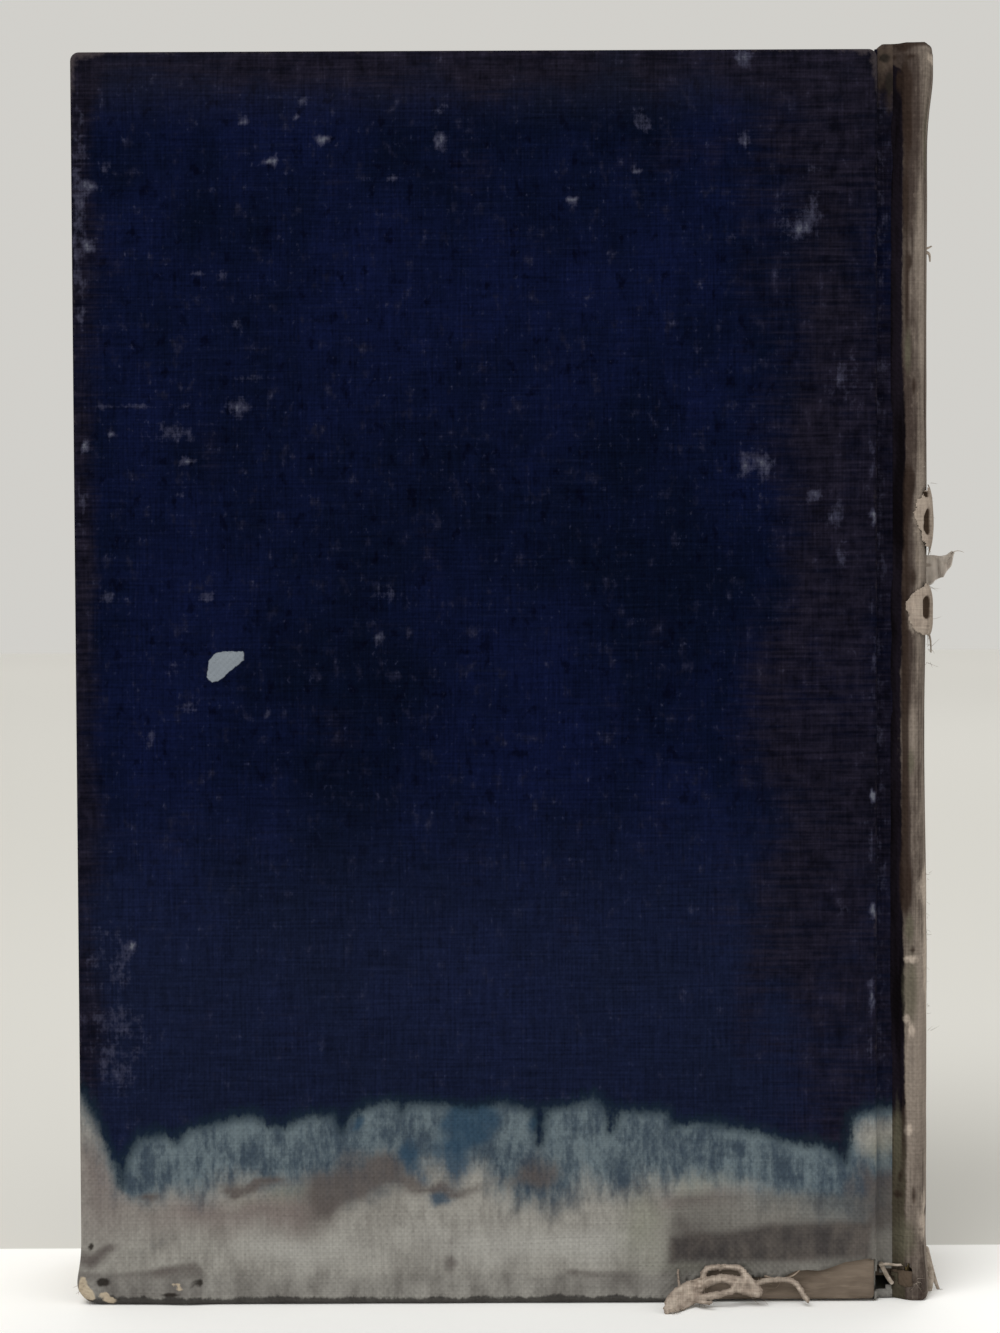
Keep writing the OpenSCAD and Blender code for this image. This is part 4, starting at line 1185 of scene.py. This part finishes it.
class Look:
    """A material and short calls for the nodes that paint it."""

    def __init__(self, name, roughness, specular):
        self.material = bpy.data.materials.new(name)
        self.material.use_nodes = True
        self.nodes = self.material.node_tree.nodes
        self.links = self.material.node_tree.links
        self.shader = self.nodes["Principled BSDF"]
        self.shader.inputs["Roughness"].default_value = roughness
        self.shader.inputs["Specular IOR Level"].default_value = specular

    def put(self, socket, value):
        """Link a socket to another, or set it."""
        if isinstance(value, bpy.types.NodeSocket):
            self.links.new(value, socket)
        elif value is not None:
            socket.default_value = value

    def field(self, name, output="Fac"):
        node = self.nodes.new("ShaderNodeAttribute")
        node.attribute_name = name
        return node.outputs[output]

    def object_place(self):
        return self.nodes.new("ShaderNodeTexCoord").outputs["Object"]

    def scaled(self, vector, scale):
        node = self.nodes.new("ShaderNodeVectorMath")
        node.operation = "MULTIPLY"
        self.put(node.inputs[0], vector)
        node.inputs[1].default_value = scale
        return node.outputs["Vector"]

    def part(self, vector, axis):
        node = self.nodes.new("ShaderNodeSeparateXYZ")
        self.put(node.inputs[0], vector)
        return node.outputs[axis]

    def noise(self, vector, scale, detail, roughness=0.5):
        node = self.nodes.new("ShaderNodeTexNoise")
        scale = scale if isinstance(scale, tuple) else (scale,) * 3
        self.put(node.inputs["Vector"], self.scaled(vector, scale))
        node.inputs["Scale"].default_value = 1.0
        node.inputs["Detail"].default_value = detail
        node.inputs["Roughness"].default_value = roughness
        return node.outputs["Fac"]

    def grain(self, flat, wide, high, detail, roughness=0.5):
        """Noise on a flat sheet, its lumps so many millimetres wide and high."""
        return self.noise(flat, (1 / wide, 1 / high, 0.1), detail, roughness)

    def math(self, operation, a, b=0.0):
        node = self.nodes.new("ShaderNodeMath")
        node.operation = operation
        self.put(node.inputs[0], a)
        self.put(node.inputs[1], b)
        return node.outputs[0]

    def add(self, *values):
        total = values[0]
        for value in values[1:]:
            total = self.math("ADD", total, value)
        return total

    def times(self, a, b):
        return self.math("MULTIPLY", a, b)

    def shifted(self, noise, amount):
        """Noise around 0.5 as a shift around 0."""
        return self.times(self.math("SUBTRACT", noise, 0.5), amount)

    def uneven(self, name, *noises):
        """A field whose border wanders with noises, each given with its amount."""
        return self.add(self.field(name), *(self.shifted(noise, amount) for noise, amount in noises))

    def rise(self, value, low, high, to_low=0.0, to_high=1.0):
        node = self.nodes.new("ShaderNodeMapRange")
        node.interpolation_type = "SMOOTHSTEP"
        self.put(node.inputs["Value"], value)
        node.inputs["From Min"].default_value = low
        node.inputs["From Max"].default_value = high
        node.inputs["To Min"].default_value = to_low
        node.inputs["To Max"].default_value = to_high
        return node.outputs["Result"]

    def mix(self, factor, a, b):
        node = self.nodes.new("ShaderNodeMix")
        node.data_type = "RGBA"
        self.put(node.inputs["Factor"], factor)
        self.put(node.inputs["A"], rgb(a) if isinstance(a, str) else a)
        self.put(node.inputs["B"], rgb(b) if isinstance(b, str) else b)
        return node.outputs["Result"]

    def between(self, noise, a, b, low=0.3, high=0.7):
        """A colour that goes from one to another with a noise."""
        return self.mix(self.rise(noise, low, high), a, b)

    def over(self, colour, value, low, high, most, paint):
        """A colour with paint laid over it as a value goes from low to high, up to some share."""
        return self.mix(self.rise(value, low, high, 0, most), colour, paint)

    def coats(self, colour, coats):
        """A colour with several paints laid over it, one after the other."""
        for value, low, high, most, paint in coats:
            colour = self.over(colour, value, low, high, most, paint)
        return colour

    def shade(self, colour, factor):
        """A colour made lighter or darker by a factor around 1."""
        node = self.nodes.new("ShaderNodeVectorMath")
        node.operation = "SCALE"
        self.put(node.inputs[0], colour)
        self.put(node.inputs["Scale"], factor)
        return node.outputs["Vector"]

    def finish(self, colour, height=None, distance=0.0001, strength=1.0):
        self.put(self.shader.inputs["Base Color"], colour)
        if height is not None:
            bump = self.nodes.new("ShaderNodeBump")
            bump.inputs["Strength"].default_value = strength
            bump.inputs["Distance"].default_value = distance
            self.put(bump.inputs["Height"], height)
            self.put(self.shader.inputs["Normal"], bump.outputs["Normal"])
        return self.material


def weave_of(look, flat):
    """Height of a plain weave with uneven threads, and the streaks of its threads around 0."""
    thread = 0.52
    warp = look.grain(flat, 0.33, 7.0, 2.0)
    weft = look.grain(flat, 8.0, 0.36, 2.0)
    x, z = look.part(flat, "X"), look.part(flat, "Y")
    wave_x = look.math("SINE", look.add(look.times(x, np.pi / thread), look.shifted(warp, 1.6)))
    wave_z = look.math("SINE", look.add(look.times(z, np.pi / thread), look.shifted(weft, 1.6)))
    cross = look.times(look.times(wave_x, wave_z), 0.5)
    height = look.add(cross, look.times(look.add(warp, weft), 0.9))
    return height, look.add(look.shifted(warp, 1.0), look.shifted(weft, 1.0))


def navy_cloth_look(name):
    look = Look(name, roughness=0.97, specular=0.02)
    flat = look.field("flat", "Vector")
    up = look.part(flat, "Y")
    height, streaks = weave_of(look, flat)
    broad = look.grain(flat, 26, 34, 3.0)
    cloudy = look.grain(flat, 5, 9, 4.0, 0.6)
    slub = look.grain(flat, 11, 0.7, 3.0, 0.6)
    speck = look.grain(flat, 0.9, 1.3, 3.0, 0.7)
    mottle = look.grain(flat, 2.4, 3.4, 3.0, 0.6)
    run = look.grain(flat, 1.3, 5.0, 4.0, 0.65)

    # Navy, browned where hands and light reached it, with faint slubs across it.
    grime = look.uneven("grime", (cloudy, 1.1), (slub, 0.7))
    grimy = look.between(look.add(mottle, slub), "#0a0910", "#1d1a25", 0.7, 1.3)
    navy = look.between(look.add(broad, look.shifted(cloudy, 0.5)), "#050a1b", "#0a102b", 0.28, 0.76)
    navy = look.coats(navy, [
        (slub, 0.55, 0.78, 0.4, "#12172c"),
        (mottle, 0.56, 0.74, 0.75, "#181a2c"),
        (mottle, 0.44, 0.3, 0.7, "#020310"),
        (speck, 0.6, 0.8, 0.8, "#24273a"),
        (up, 86, 48, 0.45, "#1a2036"),
        (up, 180, 192, 0.3, "#24242e"),
        (grime, 0.2, 1.1, 0.85, grimy),
    ])
    navy = look.shade(navy, look.add(1.0, look.times(streaks, 1.1), look.shifted(speck, 0.7)))

    # Rubbed places, where the weave shows through pale, then the chip, and painted shade in the creases.
    rubbed = look.add(look.uneven("scuff", (speck, 1.3), (mottle, 1.5)), look.times(streaks, 0.4))
    navy = look.coats(navy, [
        (rubbed, 0.25, 0.85, 0.42, "#45465a"),
        (rubbed, 0.7, 1.35, 0.8, "#62656f"),
        (look.uneven("rub", (speck, 0.9), (cloudy, 0.8)), 0.62, 1.2, 0.6, "#494243"),
        (look.uneven("chip", (speck, 0.5)), -0.05, 0.12, 1, look.mix(cloudy, "#6d747c", "#868d94")),
    ])
    navy = look.mix(look.times(look.field("crease_shade"), 0.7), navy, "#050509")

    # Below the tide line the dye has run: a blue-grey zone, then bare beige, then the dirty tail edge.
    tide = look.uneven("tide", (run, 2.4), (speck, 2.0), (cloudy, 1.6))
    depth = look.times(tide, -1.0)
    bare = look.between(look.add(cloudy, look.shifted(run, 0.6)), "#787570", "#918f89")
    stains = [("pale", 0.6, "#a09f9a"), ("mauve", 0.75, "#685d5b"), ("moss", 0.6, "#76776a")]
    for stain, share, paint in stains:
        bare = look.mix(look.times(look.field(stain), share), bare, paint)
    dyed = look.add(cloudy, look.shifted(run, 0.7), look.shifted(speck, 0.3))
    reach = look.add(depth, look.shifted(cloudy, 9.0), look.shifted(run, 6.0),
                     look.times(look.field("bleach"), 9.0))
    low = look.add(up, look.shifted(cloudy, 2.5), look.shifted(speck, 1.0))
    faded = look.coats(look.between(dyed, "#38434e", "#5f6b71"), [
        (reach, 6.5, 13.5, 1, bare),
        (look.uneven("deep", (run, 0.9), (speck, 0.3)), 0.3, 0.95, 0.85, "#293f52"),
        # Dark patches of dirt, with painted shade beside the torn flap.
        (look.uneven("dirt_and_shade", (cloudy, 0.8), (speck, 0.5), (run, 1.0)), 0.1, 1.1, 0.88,
         look.mix(cloudy, "#443e3e", "#5a5350")),
        (look.uneven("ghost", (speck, 1.0), (cloudy, 4.0)), -1.2, 1.4, 0.6,
         look.mix(cloudy, "#464442", "#605d59")),
        (look.uneven("band", (speck, 0.9), (run, 1.2), (cloudy, 2.0)), -0.7, 1.0, 0.9,
         look.between(cloudy, "#353233", "#56504c")),
        (low, 2.4, 0.3, 0.7, look.between(cloudy, "#625f5c", "#8b8984")),
        (low, -2.0, -2.5, 0.8, "#2c2a29"),
    ])
    faded = look.shade(faded, look.add(1.0, look.times(streaks, 0.34), look.shifted(speck, 0.35)))
    colour = look.mix(look.rise(depth, -0.5, 0.6), navy, faded)
    dark_rim = look.times(look.rise(depth, 0.0, 1.6, 1, 0), look.rise(depth, -2.0, -0.2))
    colour = look.mix(look.times(dark_rim, 0.6), colour, "#16242f")

    # Dye gone from the groove beside the head cap, holes painted dark with the shade inside them, and bare
    # cream board.
    colour = look.coats(colour, [
        (look.uneven("brown", (cloudy, 1.2), (speck, 0.5)), 0.3, 1.1, 0.9,
         look.between(cloudy, "#201816", "#50453d", 0.35, 0.65)),
        (look.uneven("hole", (speck, 0.3)), 0.35, 0.75, 0.92, "#26221f"),
        (look.uneven("cream", (speck, 0.5)), -0.12, 0.12, 1, look.mix(cloudy, "#9a8b79", "#bdb19c")),
    ])

    # The cloth turned in behind the board keeps its colour.
    turned = look.shade(rgb("#141833")[:3], look.add(1.0, streaks))
    colour = look.mix(look.field("inside"), colour, turned)
    return look.finish(colour, height, 0.00008, 0.9)


def spine_cloth_look(name):
    look = Look(name, roughness=0.97, specular=0.03)
    flat = look.field("flat", "Vector")
    height, streaks = weave_of(look, flat)
    broad = look.grain(flat, 3, 22, 4.0, 0.6)
    speck = look.grain(flat, 1.0, 2.2, 4.0, 0.7)
    drawn = look.grain(flat, 0.6, 24, 3.0, 0.6)
    lit = look.uneven("pale", (broad, 0.9), (speck, 0.5), (drawn, 1.2))
    tan = look.over(look.between(lit, "#3d3430", "#7e746b", 0.0, 1.1), speck, 0.56, 0.75, 0.4, "#72675e")
    dark = look.between(broad, "#0b080b", "#17131a", 0.4, 0.6)
    dark = look.mix(look.field("tail"), dark, look.mix(broad, "#332f27", "#4f493d"))
    colour = look.coats(dark, [
        (look.uneven("fade", (speck, 0.5), (broad, 0.4)), 0.35, 0.65, 1, tan),
        (look.uneven("moss", (speck, 0.5)), 0.25, 0.9, 0.75, look.mix(broad, "#413d33", "#625f50")),
        (look.uneven("crack", (speck, 0.9)), 0.55, 0.9, 0.5, "#786d62"),
        (look.uneven("near_tear", (speck, 0.8), (broad, 0.4)), 0.3, 0.85, 0.9,
         look.mix(broad, "#93867a", "#b5a99d")),
        # Dirt, with painted shade in the slits, round the tail holes and along the flank's outline.
        (look.uneven("dirt_and_shade", (speck, 0.6), (broad, 0.3)), 0.35, 0.95, 0.85, "#2b211c"),
    ])
    colour = look.shade(colour, look.add(1.0, look.times(streaks, 0.55), look.shifted(speck, 0.4)))
    colour = look.mix(look.field("inside"), colour, look.mix(look.field("tail"), "#15131a", "#574b40"))
    return look.finish(colour, height, 0.00008, 0.9)


def torn_cloth_look(name, dark, light):
    """Frayed cloth with its colour gone: cream and grey threads, darker as the field named edge rises:
    browned fibres and painted shade at the rims, painted shadow in worn slots, and a dark streak.
    """
    look = Look(name, roughness=0.97, specular=0.03)
    flat = look.field("flat", "Vector")
    warp = look.grain(flat, 0.28, 4.0, 3.0, 0.6)
    weft = look.grain(flat, 4.0, 0.3, 3.0, 0.6)
    cloudy = look.grain(flat, 1.6, 2.2, 3.0, 0.6)
    rim = look.uneven("edge", (cloudy, 0.8))
    # The darker coats: browned fibres together with painted shade at the rims, and painted shadow in the
    # slots.
    colour = look.coats(look.between(cloudy, dark, light), [
        (rim, 0.45, 1.4, 0.6, "#6f6359"),
        (rim, 1.6, 2.2, 0.7, "#4a4038"),
        (rim, 2.4, 3.4, 0.9, "#2c2118"),
    ])
    threads_shade = look.add(1.0, look.shifted(warp, 0.9), look.shifted(weft, 0.9))
    return look.finish(look.shade(colour, threads_shade), look.add(warp, weft), 0.00012, 1.0)


def board_look():
    look = Look("pulp_board", roughness=0.97, specular=0.05)
    place = look.object_place()
    fibre = look.noise(place, (220, 900, 1400), 4.0, 0.6)
    broad = look.noise(place, (90, 90, 160), 3.0)
    colour = look.between(broad, "#4b4138", "#71655a", 0.35, 0.65)
    colour = look.over(colour, fibre, 0.45, 0.75, 0.5, "#85786b")
    return look.finish(colour, fibre, 0.00015, 0.8)


def paper_look(name, light, dark, spots=0.5):
    look = Look(name, roughness=0.9, specular=0.15)
    place = look.object_place()
    broad = look.noise(place, 22, 3.0)
    foxing = look.noise(place, 130, 3.0, 0.6)
    fibre = look.noise(place, 1500, 3.0, 0.6)
    colour = look.between(broad, light, dark)
    colour = look.over(colour, foxing, 0.62, 0.8, spots, "#8a6238")
    colour = look.shade(colour, look.rise(fibre, 0.2, 0.8, 0.94, 1.05))
    return look.finish(colour, fibre, 0.00003, 0.5)


def hinge_paper_look():
    look = Look("hinge_paper", roughness=0.9, specular=0.15)
    flat = look.field("flat", "Vector")
    broad = look.grain(flat, 30, 30, 3.0)
    fibre = look.noise(flat, (1.5, 1.5, 0.1), 3.0, 0.6)
    colour = look.between(broad, "#c4b188", "#ad9668")
    colour = look.mix(look.rise(look.part(flat, "Y"), 11, 6), colour, "#4d443b")
    return look.finish(colour, fibre, 0.00003, 0.5)


def gauze_look(name, flat=False):
    look = Look(name, roughness=0.95, specular=0.1)
    place = look.field("flat", "Vector") if flat else look.scaled(look.object_place(), (1000, 1000, 1000))
    threads = look.noise(place, (2.2, 0.6, 0.4), 3.0, 0.6)
    colour = look.between(threads, "#8f8067", "#c2b597")
    return look.finish(colour, threads, 0.0001, 0.8)


def page_edge_look():
    """Toned paper edges, each leaf a little different from the next."""
    look = Look("page_edges", roughness=0.92, specular=0.1)
    place = look.object_place()
    broad = look.noise(place, (35, 60, 30), 4.0, 0.6)
    fibre = look.noise(place, 900, 3.0, 0.6)
    leaf = look.field("leaf")
    colour = look.between(look.add(broad, look.shifted(leaf, 0.35)), "#b9a577", "#93794d", 0.3, 0.72)
    colour = look.shade(colour, look.rise(leaf, 0, 1, 0.82, 1.1))
    low = look.add(look.times(look.part(place, "Z"), 1000), look.shifted(broad, 30))
    colour = look.over(colour, low, 26, 4, 0.45, "#6d583c")
    return look.finish(colour, fibre, 0.00005, 0.7)


def thread_look(name, light, dark):
    look = Look(name, roughness=0.95, specular=0.08)
    place = look.object_place()
    fuzz = look.noise(place, 900, 3.0, 0.6)
    return look.finish(look.between(fuzz, dark, light), fuzz, 0.0001, 0.8)


def headband_look():
    look = Look("headband_cotton", roughness=0.9, specular=0.1)
    place = look.object_place()
    stripes = look.math("SINE", look.times(look.part(place, "Y"), 2 * np.pi / 0.0011))
    fuzz = look.noise(place, 1200, 3.0)
    colour = look.between(stripes, "#8f8262", "#4d4f55", -0.4, 0.4)
    colour = look.shade(colour, look.rise(fuzz, 0.2, 0.8, 0.85, 1.1))
    return look.finish(colour, stripes, 0.0001, 0.8)


# The book.

navy_cloth = navy_cloth_look("navy_book_cloth")
spine_cloth = spine_cloth_look("faded_spine_cloth")
endpaper = paper_look("endpaper", "#c9b78e", "#ae9869")
gauze = gauze_look("mull_gauze")
LOOKS = {
    "front_board": board_look(), "head_band": headband_look(),
    "mull": gauze, "front_flyleaf": endpaper, "back_lining": paper_look("lining_paper", "#a8895f", "#8b6e47"),
    "spine_inlay": paper_look("spine_card", "#8d7453", "#6f5a40", 0.2),
}
SAME_LOOK = {
    "front_board": ["back_board"], "head_band": ["tail_band"], "mull": ["front_mull_wing", "back_mull_wing"],
    "front_flyleaf": ["back_flyleaf", "front_pastedown", "back_pastedown"],
}
for node, material in LOOKS.items():
    for name in [node] + SAME_LOOK.get(node, []):
        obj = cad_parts[name]
        for material_slot in obj.material_slots:
            material_slot.material = material

make_cover("back", -1, [BUMPED_R, CORNER_R, CORNER_R, CORNER_R], back_marks, navy_cloth)
make_cover("front", 1, [CORNER_R] * 4, front_marks, navy_cloth)
make_spine(spine_cloth)
make_pages(page_edge_look())
torn_cloth = torn_cloth_look("torn_cloth", "#8d8075", "#b5a89b")
threads = thread_look("frayed_threads", "#9c8d7e", "#6e6155")
pale_threads = thread_look("pale_threads", "#b3a79b", "#857a6e")
lifted_patch("upper_lifted_gauze", (-12.4, 123.6), (11.2, 12.6), 1.1, UPPER_SLOTS, torn_cloth, 101)
lifted_patch("lower_lifted_gauze", (-13.5, 109.2), (12.0, 9.8), 1.0, LOWER_SLOTS, torn_cloth, 111)
horn(torn_cloth_look("torn_tongue", "#978e85", "#bab1a8"))
torn_tail(torn_cloth)
frayed_tail(threads)
frayed_spine(pale_threads)
hinge_paper, hinge_gauze = hinge_paper_look(), gauze_look("hinge_gauze", flat=True)
for which, side, marks in (("back", -1, back_marks), ("front", 1, front_marks)):
    make_groove(which, side, marks, navy_cloth)
    make_joint_linings(which, side, hinge_paper, hinge_gauze)

# The surroundings.


def make_floor():
    """White in front like the table in the photograph, and of the wall's colour from just behind the book."""
    reach, middle = 4000, OUTER + 1.5
    white, wall, far_painted_light = (0.98, 0.98, 0.965, 1), (0.63, 0.62, 0.585, 1), (0.965, 0.955, 0.92, 1)
    for name, near, far, colour in (("near_floor", -reach, middle, white),
                                    ("far_floor", middle, reach, wall)):
        look = Look(name, roughness=0.8, specular=0.2)
        # Painted light: the floor is made paler further from the lamps, to make up for their falloff.
        away = look.rise(look.part(look.object_place(), "Y"), 0.4, 3.2)  # past the lights the floor is paler
        material = look.finish(look.mix(away, colour, far_painted_light))
        corners = [(-reach, near, 0), (reach, near, 0), (reach, far, 0), (-reach, far, 0)]
        link(name, corners, [(0, 1, 2, 3)], material)


def area_light(name, place, aim, size, power):
    light = bpy.data.lights.new(name, "AREA")
    light.size = size
    light.energy = power
    obj = bpy.data.objects.new(name, light)
    obj.location = place
    obj.rotation_euler = (Vector(aim) - Vector(place)).to_track_quat("-Z", "Y").to_euler()
    bpy.context.scene.collection.objects.link(obj)


make_floor()
middle = (0, 0, COVER_H / 2 * MM)
area_light("key", (-0.6, -0.9, 1.7), middle, 1.0, 20)
area_light("fill", (1.3, -0.9, 0.8), middle, 1.2, 3)
area_light("rear", (0.4, 1.2, 1.5), middle, 1.2, 6)

world = bpy.data.worlds.new("pale_room")
bpy.context.scene.world = world
world.use_nodes = True
world.node_tree.nodes["Background"].inputs["Color"].default_value = (0.80, 0.785, 0.745, 1)
world.node_tree.nodes["Background"].inputs["Strength"].default_value = 0.80
bpy.context.scene.view_settings.view_transform = "Standard"

camera_data = bpy.data.cameras.new("camera")
camera_data.sensor_fit = "VERTICAL"
camera_data.sensor_height = 24.0
camera_data.lens = 24.0 * FOCAL_PIXELS / PHOTO_H
camera = bpy.data.objects.new("camera", camera_data)
camera.location = Vector(CAMERA_PLACE * MM)
camera.rotation_euler = CAMERA_TURN.to_euler()
bpy.context.scene.collection.objects.link(camera)
bpy.context.scene.camera = camera
